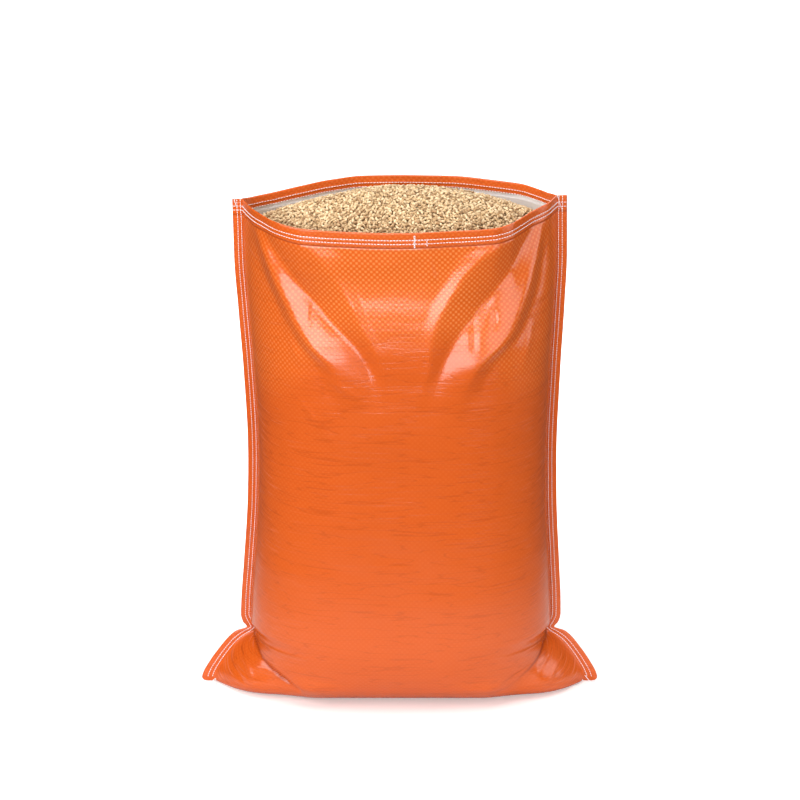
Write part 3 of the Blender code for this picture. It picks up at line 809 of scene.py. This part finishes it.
def build_sheet(front, back, orange, lining):
    """The sack's cloth as one thin closed sheet: panels, side flanges, floor and inner face."""
    outer, outer_flat, seam = outer_rings(front, back)
    chosen = inner_levels()
    inner_front = inside_of(front)
    inner_back = inside_of(back)
    inner = np.concatenate([np.vstack([a[::2], b[::-2]]) for a, b in zip(inner_front, inner_back)])
    inner_flat = np.concatenate([np.vstack([front.flat[i, ::2], back.flat[i, ::-2]]) for i in chosen])
    runs, rim = sheet_faces(len(outer), chosen, len(outer) + len(inner))
    crest = 0.5 * (outer[rim] + np.vstack([inner_front[-1], inner_back[-1][::-1]]))
    crest[:, 2] += LIP_RISE
    points = np.concatenate([outer, inner, crest])
    flat = np.concatenate([outer_flat, inner_flat, outer_flat[rim]])
    unseen = np.zeros(len(points) - len(outer))
    seam = np.concatenate([seam, unseen])
    nominal = np.concatenate([np.repeat(LEVELS, RING), unseen])
    single = smooth_step(seam, 0.0, 0.012) * smooth_step(SEAM_TOP - nominal - HEM, 0.0, 0.003)
    # Painted shade: a dark line under the hem and in the crevices by the ears
    shade = np.maximum(hem_shade(SEAM_TOP - nominal), crevice_shade(points) * (nominal > 0.0))
    values = {"dots": dot_share(points) * (0.3 + 0.7 * single), "seam": seam, "shade": shade}
    faces = [tuple(int(k) for k in face) for run, _ in runs for face in run]
    kinds = [kind for run, kind in runs for _ in run]
    piece = mesh_piece("sack_sheet", points, faces, [orange, lining], kinds, flat, values)
    turn_faces_out(piece)
    return piece


def dot_share(points):
    """How plainly the raised tapes show: fully where the cloth is slack, under the mouth and beside it."""
    across = np.abs(points[:, 0])
    lowest = between(DOTS_FROM, smooth_step(across, 0.06, 0.20))
    return smooth_step(points[:, 2] - lowest, -0.03, 0.05) * (1.0 - 0.5 * smooth_step(across, 0.08, 0.17))


def hem_shade(below):
    """Painted shade: the dark line along the hem's lower edge, at depths below the rim."""
    return 0.55 * dent(below, HEM + 0.0008, 0.0011)


def crevice_shade(points):
    """How dark the painted shade is in the narrow places between the body and the ears, at points of the
    front.
    """
    shade = np.zeros(len(points))
    for line, half_width in CREVICES:
        marks = np.linspace(0, len(line) - 1, 120)
        x, z, dark = (np.interp(marks, range(len(line)), values) for values in zip(*line))
        near = (points[:, 2] < PINCH + 0.02) & (points[:, 1] < 0.0) & (points[:, 0] * x[0] > 0.0)
        off = np.hypot(points[near, 0][:, None] - x, points[near, 2][:, None] - z)
        shade[near] = np.max(dark * dent(off, 0.0, half_width), axis=1)
    return shade


def joined(parts):
    """Several (points, faces) pairs as one."""
    points = []
    faces = []
    for more, more_faces in parts:
        base = len(points)
        points.extend(more)
        faces.extend(tuple(base + k for k in face) for face in more_faces)
    return points, faces


def circle(centre, first, second, radius):
    """Points round a centre in the plane of two directions."""
    turn = np.arange(THREAD_SIDES) * 2.0 * math.pi / THREAD_SIDES
    return centre + radius * (np.outer(np.cos(turn), first) + np.outer(np.sin(turn), second))


def capped_tube(rings):
    """Points and faces of a closed tube through rings of points."""
    last = (len(rings) - 1) * THREAD_SIDES
    faces = ring_faces(0, len(rings), THREAD_SIDES)
    faces.append(tuple(range(THREAD_SIDES - 1, -1, -1)))
    faces.append(tuple(range(last, last + THREAD_SIDES)))
    return np.concatenate(rings), faces


def stitch(start, end, normal):
    """A short arched length of thread that dips into the cloth at both ends."""
    run = (end - start) / np.linalg.norm(end - start)
    up = normal - run * np.dot(normal, run)
    up /= np.linalg.norm(up)
    across = np.cross(run, up)
    rings = []
    for share, lift, width in STITCH_RINGS:
        centre = start + (end - start) * share + up * lift * THREAD
        rings.append(circle(centre, across, up, 0.5 * THREAD * width))
    return capped_tube(rings)


def loose_end(path):
    """A free end of thread along a line of points."""
    run = np.gradient(path, axis=0)
    run /= np.linalg.norm(run, axis=1, keepdims=True)
    side = np.cross(run, (0.31, 0.17, 0.93))
    side /= np.linalg.norm(side, axis=1, keepdims=True)
    other = np.cross(run, side)
    return capped_tube([circle(path[i], side[i], other[i], LOOSE_THREAD / 2) for i in range(len(path))])


def smooth_path(points):
    """A smooth line through a few points."""
    points = np.asarray(points, float)
    ends = np.vstack([2 * points[0] - points[1], points, 2 * points[-1] - points[-2]])
    made = []
    for place in np.linspace(0.0, len(points) - 1.0001, LOOSE_STEPS):
        i = int(place)
        t = place - i
        a, b, c, d = ends[i : i + 4]
        bend = (2 * a - 5 * b + 4 * c - d) * t**2 + (3 * b - a - 3 * c + d) * t**3
        made.append(0.5 * (2 * b + (c - a) * t + bend))
    return np.array(made)


def stitches_along(path, normals, row, rng):
    """The stitches of one row, laid along a line of points."""
    pitch, gap, wander = row
    runs = lengths_along(path)
    count = max(int(runs[-1] / pitch), 1)
    marks = np.linspace(0.0, runs[-1], count + 1)
    marks[1:-1] += rng.uniform(-0.08, 0.08, count - 1) * pitch

    def at(values, places):
        return np.stack([np.interp(places, runs, values[:, k]) for k in range(3)], axis=1)

    starts = at(path, marks[:-1] + gap / 2)
    ends = at(path, marks[1:] - gap / 2)
    facing = at(normals, 0.5 * (marks[:-1] + marks[1:]))
    facing /= np.linalg.norm(facing, axis=1, keepdims=True)
    across = np.cross(ends - starts, facing)
    across /= np.linalg.norm(across, axis=1, keepdims=True)
    starts = starts + across * rng.uniform(-wander, wander, (count, 1))
    ends = ends + across * rng.uniform(-wander, wander, (count, 1))
    return [stitch(*ends_and_normal) for ends_and_normal in zip(starts, ends, facing)]


def row_at(grid, height):
    """The points or normals of a panel along one height, between two of its levels."""
    place = np.interp(height, LEVELS, np.arange(len(LEVELS)))
    low = int(min(math.floor(place), len(LEVELS) - 2))
    share = place - low
    return grid[low] * (1.0 - share) + grid[low + 1] * share


def facing_out(side, count):
    return np.tile((0.0, float(side), 0.0), (count, 1))


def hem_rows(panel, inside, rng):
    """The two rows of stitches around the mouth on one panel, on its outer or its inner face."""
    made = []
    for depth in HEM_ROWS:
        height = SEAM_TOP - depth
        path = row_at(panel.points, height)
        facing = row_at(panel.normals, height)
        if inside:
            path = (path - facing * inner_offset(height))[3:-3]
            facing = -facing[3:-3]
        made += stitches_along(path, facing, HEM_STITCH, rng)
    return made


def flange_crossing(panel, hand, rng):
    """The hem's stitches where they cross the top of a side flange."""
    made = []
    for depth in HEM_ROWS:
        height = SEAM_TOP - depth
        foot = end_column(panel, hand)[int(np.argmin(np.abs(LEVELS - height))), 0]
        edge = hand * flange_edge(height)
        share = np.array((0.0, 0.33, 0.66, 0.96))
        y = panel.side * (FLANGE_HALF + 0.0002) + flange_wave(height, hand) * share
        z = np.full(4, height + top_lift(edge, height))
        path = np.stack([foot + (edge - foot) * share, y, z], axis=1)
        made += stitches_along(path, facing_out(panel.side, 4), CROSSING_STITCH, rng)
    return made


def bar_tacks(panel, rng):
    """Short upright rows of stitches over the hem of the front panel."""
    made = []
    for x, top, bottom in BAR_TACKS:
        path = []
        for height in np.linspace(SEAM_TOP - top, SEAM_TOP - bottom, TACK_POINTS):
            row = row_at(panel.points, height)
            path.append([np.interp(x, row[:, 0], row[:, k]) for k in range(3)])
        middle = SEAM_TOP - 0.5 * (top + bottom)
        nearest = int(np.argmin(np.abs(row_at(panel.points, middle)[:, 0] - x)))
        normal = row_at(panel.normals, middle)[nearest]
        facing = np.tile(normal, (TACK_POINTS, 1))
        made += stitches_along(np.array(path) + normal * TACK_LIFT, facing, BAR_STITCH, rng)
    return made


def corner_tack(rng):
    """The slanted row of stitches that closes the top of the right seam."""
    x, z = np.linspace(*np.array(CORNER_TACK), TACK_POINTS).T
    path = np.stack([x, np.full(TACK_POINTS, -FLANGE_HALF - 0.0005), z], axis=1)
    return stitches_along(path, facing_out(-1, TACK_POINTS), CORNER_STITCH, rng)


def side_rows(panel, hand, rng):
    """The two rows of stitches down one face of a side flange."""
    foot = end_column(panel, hand)[:, 0]
    made = []
    for out in SIDE_ROWS:
        path = []
        share = out / FLANGE
        for i, height in enumerate(LEVELS):
            if height < SIDE_ROW_FROM:
                continue
            x = foot[i] + (free_edge(height, hand) - foot[i]) * share
            y = panel.side * (FLANGE_HALF - 0.0001) + flange_wave(height, hand) * share
            path.append((x, y, height + top_lift(x, height)))
        path = np.array(path)
        made += stitches_along(path, facing_out(panel.side, len(path)), SIDE_STITCH, rng)
    return made


def build_stitching(front, back, finish):
    rng = np.random.default_rng(SEED + 40)
    pieces = []
    for place, panel in (("front", front), ("back", back)):
        parts = hem_rows(panel, False, rng) + hem_rows(panel, True, rng)
        parts += flange_crossing(panel, -1, rng) + flange_crossing(panel, 1, rng)
        if panel is front:
            parts += bar_tacks(panel, rng)
        piece = mesh_piece(f"hem_stitching_{place}", *joined(parts), [finish])
        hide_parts(f"hem_stitch_{place}_upper", f"hem_stitch_{place}_lower")
        pieces.append(piece)
    for name, hand, loose in (("left", -1, LOOSE_LEFT), ("right", 1, LOOSE_RIGHT)):
        parts = side_rows(front, hand, rng) + side_rows(back, hand, rng)
        if hand > 0:
            parts += corner_tack(rng)
        parts += [loose_end(smooth_path(path)) for path in loose]
        piece = mesh_piece(f"side_stitching_{name}", *joined(parts), [finish])
        rows = [(place, row) for place in ("front", "back") for row in ("inner", "outer")]
        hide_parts(*[f"side_stitch_{name}_{place}_{row}" for place, row in rows])
        pieces.append(piece)
    return pieces


def kernel():
    """One wheat kernel of unit length along X, plump in the middle and pointed at its ends."""
    half_width, half_height = KERNEL_ROUND
    sides = range(KERNEL_SIDES)
    points = [(-0.5, 0.0, 0.0)]
    for x, width in KERNEL_RINGS:
        for k in sides:
            angle = 2.0 * math.pi * (k + 0.5) / KERNEL_SIDES
            points.append((x, half_width * width * math.cos(angle), half_height * width * math.sin(angle)))
    points.append((0.5, 0.0, 0.0))
    last = len(points) - 1
    low = last - KERNEL_SIDES
    faces = [(0, 1 + (k + 1) % KERNEL_SIDES, 1 + k) for k in sides]
    faces += ring_faces(1, len(KERNEL_RINGS), KERNEL_SIDES)
    faces += [(last, low + k, low + (k + 1) % KERNEL_SIDES) for k in sides]
    return np.array(points), faces


def heap_surface(front_edge, back_edge):
    """A function for the height of the heap over a place, from the line where it meets the cloth."""
    centre = 0.5 * (front_edge.mean(axis=0) + back_edge.mean(axis=0))
    top = GRAIN_PEAK - 0.0015

    def polar(x, y):
        across = x - centre[0]
        deep = (y - centre[1]) * HEAP_STRETCH
        return np.arctan2(deep, across), np.hypot(deep, across)

    edge = np.vstack([front_edge, back_edge[::-1]])
    turns, radii = polar(edge[:, 0], edge[:, 1])
    order = np.argsort(turns)

    def reach_and_height(x, y):
        turn, radius = polar(x, y)
        edge_radius = np.interp(turn, turns[order], radii[order], period=2 * math.pi)
        z = np.interp(turn, turns[order], edge[order, 2], period=2 * math.pi)
        reach = radius / edge_radius
        return reach, centre[2] + (z - centre[2]) * reach + (top - centre[2]) * (1.0 - reach**2)

    return reach_and_height


def place_kernels(heap, rng):
    """Kernels dropped one by one on the heap's low spots: centre, yaw, pitch, roll and size of each."""
    xs, ys = (np.arange(low, high, HEAP_CELL) for low, high in HEAP_SPAN)
    grid_x, grid_y = np.meshgrid(xs, ys, indexing="ij")
    reach, surface = heap(grid_x, grid_y)
    edge_room = 0.0035 / np.maximum(np.hypot(grid_x, grid_y), 0.03)
    possible = np.argwhere(reach < 1.0 - edge_room)
    rough = soft_noise(grid_x + 1.0, grid_y + 1.0, 0.012, 0.012, SEED + 61)
    heights = surface - GROUND_BELOW + GROUND_ROUGH * rough
    window = HEAP_WINDOW
    span = np.arange(-window, window + 1) * HEAP_CELL
    near_x, near_y = np.meshgrid(span, span, indexing="ij")
    made = []
    misses = 0
    while misses < KERNEL_MISSES and len(made) < KERNELS:
        picks = possible[rng.integers(0, len(possible), KERNEL_PICKS)]
        low = heights[picks[:, 0], picks[:, 1]] - surface[picks[:, 0], picks[:, 1]]
        i, j = picks[int(np.argmin(low))]
        if i < window or j < window or i + window >= len(xs) or j + window >= len(ys):
            continue
        length = KERNEL_LENGTH * rng.uniform(*KERNEL_LENGTHS)
        width = length * KERNEL_WIDTH * rng.uniform(*KERNEL_WIDTHS)
        yaw = rng.uniform(0.0, 2 * math.pi)
        u = near_x * math.cos(yaw) + near_y * math.sin(yaw)
        v = -near_x * math.sin(yaw) + near_y * math.cos(yaw)
        oval = (2 * u / length) ** 2 + (2 * v / width) ** 2
        mask = oval < 1.0
        patch = heights[i - window : i + window + 1, j - window : j + window + 1]
        ahead = patch[mask & (u > 0)].mean()
        behind = patch[mask & (u <= 0)].mean()
        pitch = float(np.clip(math.atan2(ahead - behind, length * KERNEL_LEVER), -KERNEL_TIP, KERNEL_TIP))
        slope = math.tan(pitch)
        rest = np.percentile(patch[mask] - u[mask] * slope, KERNEL_REST)
        centre_z = rest + KERNEL_LIFT * width
        if centre_z > surface[i, j] + KERNEL_OVER:
            misses += 1
            continue
        top = centre_z + u * slope + KERNEL_CREST * width * np.sqrt(np.clip(1.0 - oval, 0.0, 1.0))
        patch[mask] = np.maximum(patch[mask], top[mask])
        roll = rng.uniform(-KERNEL_ROLL, KERNEL_ROLL)
        made.append((xs[i], ys[j], centre_z, yaw, pitch, roll, length, width))
        misses = 0
    return np.array(made)


def build_kernels(heap, finish):
    """All the loose kernels that show, in a few joined pieces."""
    rng = np.random.default_rng(SEED + 60)
    placed = place_kernels(heap, rng)
    shape, shape_faces = kernel()
    pieces = []
    for n, part in enumerate(np.array_split(np.argsort(placed[:, 1]), 3)):
        points = []
        faces = []
        tints = []
        for x, y, z, yaw, pitch, roll, length, width in placed[part]:
            turn = Matrix.Rotation(yaw, 3, "Z") @ Matrix.Rotation(-pitch, 3, "Y")
            turn = turn @ Matrix.Rotation(roll, 3, "X")
            scaled = shape * (length, width / KERNEL_ACROSS, width / KERNEL_ACROSS)
            base = len(points) * len(shape)
            points.append(scaled @ np.array(turn).T + (x, y, z))
            faces += [tuple(base + i for i in face) for face in shape_faces]
            tints.append(np.full(len(shape), rng.uniform(0.0, 1.0)))
        values = {"tint": np.concatenate(tints)}
        name = f"grain_kernels_{n + 1}"
        pieces.append(mesh_piece(name, np.concatenate(points), faces, [finish], values=values))
    return pieces


def build_bed(front, back, heap, finish):
    """The mass of grain under the loose kernels: it fills the sack and rises to a heap."""
    rows = []
    for i in [*range(0, GRAIN_LEVEL - 2, 4), GRAIN_LEVEL]:
        offset = inner_offset(LEVELS[i]) + BED_GAP
        hidden = hidden_share(LEVELS[i])
        ring = []
        for panel, step in ((front, 4), (back, -2)):
            row = (panel.points[i] - panel.normals[i] * offset)[::step]
            row = row * (1.0 - np.array(BED_SHRINK) * hidden)
            row[:, 1] = panel.side * np.maximum(panel.side * row[:, 1], BED_CLOSEST)
            if i == 0:
                row[:, 2] = BED_FLOOR
            ring.append(row)
        rows.append(np.vstack(ring))
    edge = rows[-1]
    centre = edge.mean(axis=0)
    for step in range(1, BED_RINGS):
        points = centre + (edge - centre) * (1.0 - step / BED_RINGS)
        height = heap(points[:, 0], points[:, 1])[1]
        points[:, 2] = np.minimum(height - BED_BELOW, np.where(step > 1, 1.0, edge[:, 2] + 0.002))
        rows.append(points)
    count = len(edge)
    half = FRONT_STEPS // 4 + 1
    last = (len(rows) - 1) * count
    peak = len(rows) * count
    points = np.vstack([*rows, (centre[0], centre[1], GRAIN_PEAK - 0.005)])
    faces = ring_faces(0, len(rows), count)
    faces += [face[::-1] for face in strip_faces(range(half), range(count - 1, half - 1, -1))]
    faces += [(last + i, last + (i + 1) % count, peak) for i in range(count)]
    piece = mesh_piece("grain_bed", points, faces, [finish])
    turn_faces_out(piece)
    return piece


class Value:
    """What a node gives out. Arithmetic on it adds nodes to its tree."""

    def __init__(self, socket):
        self.socket = socket
        self.tree = socket.id_data

    def math(self, operation, other=None):
        inputs = {0: self} if other is None else {0: self, 1: other}
        return Value(add_node(self.tree, "Math", inputs, operation=operation).outputs[0])

    def __add__(self, other):
        return self.math("ADD", other)

    def __sub__(self, other):
        return self.math("SUBTRACT", other)

    def __mul__(self, other):
        return self.math("MULTIPLY", other)

    def fade(self, low, high):
        """0 below the low value, 1 above the high one and smooth between them."""
        inputs = {"Value": self, "From Min": low, "From Max": high}
        made = add_node(self.tree, "MapRange", inputs, interpolation_type="SMOOTHSTEP")
        return Value(made.outputs["Result"])

    def mix(self, first, second):
        """The first colour where this is 0, the second where it is 1."""
        return mixed(self.tree, self, first, second)

    def ramp(self, *stops):
        """The colour at this place between stops of (place, colour)."""
        made = add_node(self.tree, "ValToRGB", {0: self})
        elements = made.color_ramp.elements
        for element, (place, color) in zip(elements, (stops[0], stops[-1])):
            element.position = place
            element.color = (*color, 1.0)
        for place, color in stops[1:-1]:
            elements.new(place).color = (*color, 1.0)
        return Value(made.outputs[0])


def give(socket, value):
    """Set a socket to a number or a colour, or link it to what another node gives out."""
    if isinstance(value, Value):
        socket.id_data.links.new(value.socket, socket)
    elif isinstance(value, tuple):
        socket.default_value = (*value, 1.0)
    else:
        socket.default_value = value


def add_node(tree, kind, inputs, **settings):
    """A shader node with these settings, its inputs given by name or number."""
    made = tree.nodes.new("ShaderNode" + kind)
    for name, value in settings.items():
        setattr(made, name, value)
    for key, value in inputs.items():
        give(made.inputs[key], value)
    return made


def mixed(tree, share, first, second, blend="MIX"):
    inputs = {"Factor": share, "A": first, "B": second}
    return Value(add_node(tree, "Mix", inputs, data_type="RGBA", blend_type=blend).outputs["Result"])


def new_material(name, **inputs):
    """A material with values for its shader, whose names have _ for spaces."""
    made = bpy.data.materials.new(name)
    made.use_nodes = True
    tree = made.node_tree
    shader = tree.nodes["Principled BSDF"]
    for key, value in inputs.items():
        give(shader.inputs[key.replace("_", " ")], value)
    return made, tree, shader


def stored(tree, name):
    """A value kept on the mesh's points."""
    return Value(add_node(tree, "Attribute", {}, attribute_name=name).outputs["Fac"])


def split(tree, place):
    """The first two coordinates of a place."""
    parts = add_node(tree, "SeparateXYZ", {0: place})
    return Value(parts.outputs[0]), Value(parts.outputs[1])


def cloth_place(tree):
    """The flat cloth's coordinates in metres: across and up."""
    return split(tree, Value(add_node(tree, "UVMap", {}, uv_map="cloth").outputs[0]))


def object_place(tree):
    return Value(add_node(tree, "TexCoord", {}).outputs["Object"])


def noise(tree, place, scale, detail):
    inputs = {"Vector": place, "Scale": scale, "Detail": detail}
    return Value(add_node(tree, "TexNoise", inputs).outputs["Fac"])


def stretched_noise(u, v, across, up, detail=2.0):
    """Noise with hills of about these sizes along and up the cloth, as a value about 0.5."""
    place = add_node(u.tree, "CombineXYZ", {0: u * (1.0 / across), 1: v * (1.0 / up)})
    return noise(u.tree, Value(place.outputs[0]), 1.0, detail)


def weave_height(u, v):
    """Plain weave of flat tapes: 1 on each raised tape, -1 in each dip."""
    return (u * (math.pi / TAPE)).math("SINE") * (v * (math.pi / TAPE)).math("SINE")


def tape_edges(place):
    """1 in the narrow grooves between neighbouring tapes, 0 on the tapes."""
    return (place * (math.pi / TAPE)).math("COSINE").math("ABSOLUTE").math("POWER", 10.0)


def long_creases(u, level, across, up):
    """1 along thin creases that run across the cloth, of about this length and distance, 0 between them."""
    off = (stretched_noise(u, level, across, up, 1.0) - 0.5).math("ABSOLUTE")
    return (off * (-1.0 / 0.024) + 1.0).math("MAXIMUM", 0.0)


def add_bump(tree, shader, relief, distance=1.0):
    """A bump of this relief in metres on the shader."""
    bump = add_node(tree, "Bump", {"Strength": 1.0, "Distance": distance, "Height": relief})
    give(shader.inputs["Normal"], Value(bump.outputs[0]))


def cloth_relief(u, v, weave, dots, creases):
    """Relief of the cloth's surface that is too fine for the mesh, in metres."""
    return (
        weave * (dots * 0.000022 + 0.000012)
        + tape_edges(u) * -0.000012
        + tape_edges(v) * -0.000014
        + stretched_noise(u, v, 0.040, 0.0042, 0.0) * 0.00009
        + stretched_noise(u, v, 0.035, 0.030) * 0.00026
        + creases * -0.00007
    )


def cloth_material():
    """Glossy film over orange tapes: the raised tapes show as pale dots, partly the film's own whitening and
    partly painted glints, and fine creases run across.

    The creases lie level and climb towards the seams, with painted shade along them. Beside the seams they
    fan out, with more painted shade, and streaks of painted sheen lie there.
    """
    made, tree, shader = new_material("coated_orange_weave", IOR=1.5)
    u, v = cloth_place(tree)
    dots = stored(tree, "dots")
    seam = stored(tree, "seam")
    tight = dots * -0.8 + 1.0
    weave = weave_height(u, v)
    level = v - (seam * (-1.0 / 0.030)).math("EXPONENT") * 0.038
    beside = (seam * (-1.0 / 0.060)).math("EXPONENT") * seam.fade(0.0, 0.006)
    creases = long_creases(u, level, 0.115, 0.0095) * tight
    # Fans of creases beside the seams: only painted shade, no relief
    fans = long_creases(u, level, 0.070, 0.0058) * beside * tight
    streaks = stretched_noise(u, level, 0.045, 0.0038, 1.0).fade(0.58, 0.72) * beside * tight
    add_bump(tree, shader, cloth_relief(u, v, weave, dots, creases))
    # Pale dots on the raised tapes: partly the film's own whitening, partly painted glints
    pale = weave.fade(-0.35, 0.95) * (dots * 0.72 + 0.08)
    color = pale.mix(dots.mix(GROUND_TIGHT, GROUND_SLACK), PALE_TAPE_GLINT)
    # Painted sheen: streaks of reflected light beside the seams
    color = (streaks * 0.50).mix(color, SEAM_SHEEN)
    # Painted shade along the creases and their fans by the seams
    color = (creases * 0.28 + fans * 0.75).mix(color, CREASE_SHADE)
    # Painted shade under the hem and in the crevices by the ears
    give(shader.inputs["Base Color"], stored(tree, "shade").mix(color, PAINTED_SHADE))
    gaps = tape_edges(u).math("MAXIMUM", tape_edges(v))
    give(shader.inputs["Roughness"], stretched_noise(u, v, 0.050, 0.050) * 0.09 + 0.12 + gaps * 0.08)
    return made


def lining_material():
    made, tree, shader = new_material("white_lining", Base_Color=(0.94, 0.95, 0.97), Roughness=0.45)
    u, v = cloth_place(tree)
    add_bump(tree, shader, weave_height(u, v) * 0.00005 + stretched_noise(u, v, 0.060, 0.020) * 0.0010)
    return made


def thread_material():
    made, tree, shader = new_material("white_thread", Base_Color=(0.92, 0.88, 0.88), Roughness=0.6)
    add_bump(tree, shader, noise(tree, object_place(tree), 900.0, 2.0), 0.0003)
    return made


def kernel_material():
    made, tree, shader = new_material("wheat_kernels", Roughness=0.5)
    tint = stored(tree, "tint")
    color = tint.ramp((0.0, (0.36, 0.21, 0.095)), (0.35, (0.66, 0.46, 0.245)), (1.0, (0.86, 0.68, 0.43)))
    mottled = noise(tree, object_place(tree), 420.0, 3.0)
    shade = mottled.ramp((0.35, (0.64, 0.52, 0.40)), (0.62, (1.0, 1.0, 1.0)))
    give(shader.inputs["Base Color"], mixed(tree, 0.5, color, shade, "MULTIPLY"))
    return made


def bed_material():
    made, tree, shader = new_material("grain_shadow", Roughness=0.8)
    cells = add_node(tree, "TexVoronoi", {"Vector": object_place(tree), "Scale": 260.0})
    color = Value(cells.outputs["Distance"]).ramp((0.0, (0.30, 0.17, 0.07)), (1.0, (0.14, 0.07, 0.03)))
    give(shader.inputs["Base Color"], color)
    return made


def paper_material():
    """White paper. What the sack mirrors of it has a painted pool of light around the object and is greyer
    outside it.
    """
    dull = {"Roughness": 0.9, "Specular IOR Level": 0.1}
    made, tree, shader = new_material("studio_paper")
    x, y = split(tree, object_place(tree))
    # Painted pool of light: the paper is paler near the sack for what it mirrors
    outside = (x * x + y * y).math("SQRT").fade(*POOL_EDGE)
    for key, value in {**dull, "Base Color": outside.mix(PAPER_POOL, PAPER_FAR)}.items():
        give(shader.inputs[key], value)
    away = (x * x + y * y * 2.5).math("SQRT").fade(*PAPER_GLOW_REACH)
    glow = away * (PAPER_GLOW[1] - PAPER_GLOW[0]) + PAPER_GLOW[0]
    seen = {**dull, "Base Color": PAPER_SEEN, "Emission Color": (1.0, 1.0, 1.0), "Emission Strength": glow}
    lit = add_node(tree, "BsdfPrincipled", seen)
    rays = add_node(tree, "LightPath", {})
    ends = {0: Value(rays.outputs["Is Camera Ray"]), 1: Value(shader.outputs[0]), 2: Value(lit.outputs[0])}
    either = add_node(tree, "MixShader", ends)
    output = next(node for node in tree.nodes if node.type == "OUTPUT_MATERIAL")
    give(output.inputs["Surface"], Value(either.outputs[0]))
    return made


def add_softbox(name, place, target, size, radiance):
    data = bpy.data.lights.new(name, "AREA")
    data.shape = "RECTANGLE"
    data.size, data.size_y = size
    data.energy = radiance * math.pi * size[0] * size[1]
    light = bpy.data.objects.new(name, data)
    light.location = place
    light.rotation_euler = (Vector(target) - Vector(place)).to_track_quat("-Z", "Y").to_euler()
    light.visible_camera = False
    bpy.context.scene.collection.objects.link(light)
    return light


def light_place(turn, elevation, distance):
    """Where a soft box stands, by its angles in degrees and its distance from what it is aimed at."""
    level = distance * math.cos(math.radians(elevation))
    height = LIT_FROM[2] + distance * math.sin(math.radians(elevation))
    return (level * math.sin(math.radians(turn)), -level * math.cos(math.radians(turn)), height)


def build_stage():
    """Pale floor, soft light and the camera."""
    scene = bpy.context.scene
    floor = mesh_piece("studio_floor", PAPER_CORNERS, [(0, 1, 2, 3)], [paper_material()])
    world = bpy.data.worlds.new("studio")
    world.use_nodes = True
    background = world.node_tree.nodes["Background"]
    background.inputs[0].default_value = (1.0, 1.0, 1.0, 1.0)
    background.inputs[1].default_value = WORLD_STRENGTH
    scene.world = world
    for name, turn, elevation, distance, size, radiance in SOFT_BOXES:
        add_softbox(name, light_place(turn, elevation, distance), LIT_FROM, size, radiance)
    add_softbox("overhead", *OVERHEAD)
    add_softbox("backdrop", *BACKDROP).visible_glossy = False
    data = bpy.data.cameras.new("photo_camera")
    data.lens = LENS
    data.sensor_width = SENSOR
    camera = bpy.data.objects.new("photo_camera", data)
    camera.location = CAMERA_PLACE
    camera.rotation_euler = (math.radians(CAMERA_PITCH), 0.0, 0.0)
    scene.collection.objects.link(camera)
    scene.camera = camera
    scene.view_settings.view_transform = "Standard"


def main():
    front = dressed_panel(-1, FRONT_STEPS)
    back = dressed_panel(1, BACK_STEPS)
    sheet = build_sheet(front, back, cloth_material(), lining_material())
    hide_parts("sack_fabric")
    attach(sheet, "root")
    for piece in build_stitching(front, back, thread_material()):
        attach(piece, "root")
    room = inner_offset(LEVELS[GRAIN_LEVEL]) + 0.0005
    edges = [panel.points[GRAIN_LEVEL] - panel.normals[GRAIN_LEVEL] * room for panel in (front, back)]
    heap = heap_surface(*edges)
    bed = build_bed(front, back, heap, bed_material())
    for piece in [bed, *build_kernels(heap, kernel_material())]:
        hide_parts("grain_fill")
        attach(piece, "root")
    build_stage()


main()
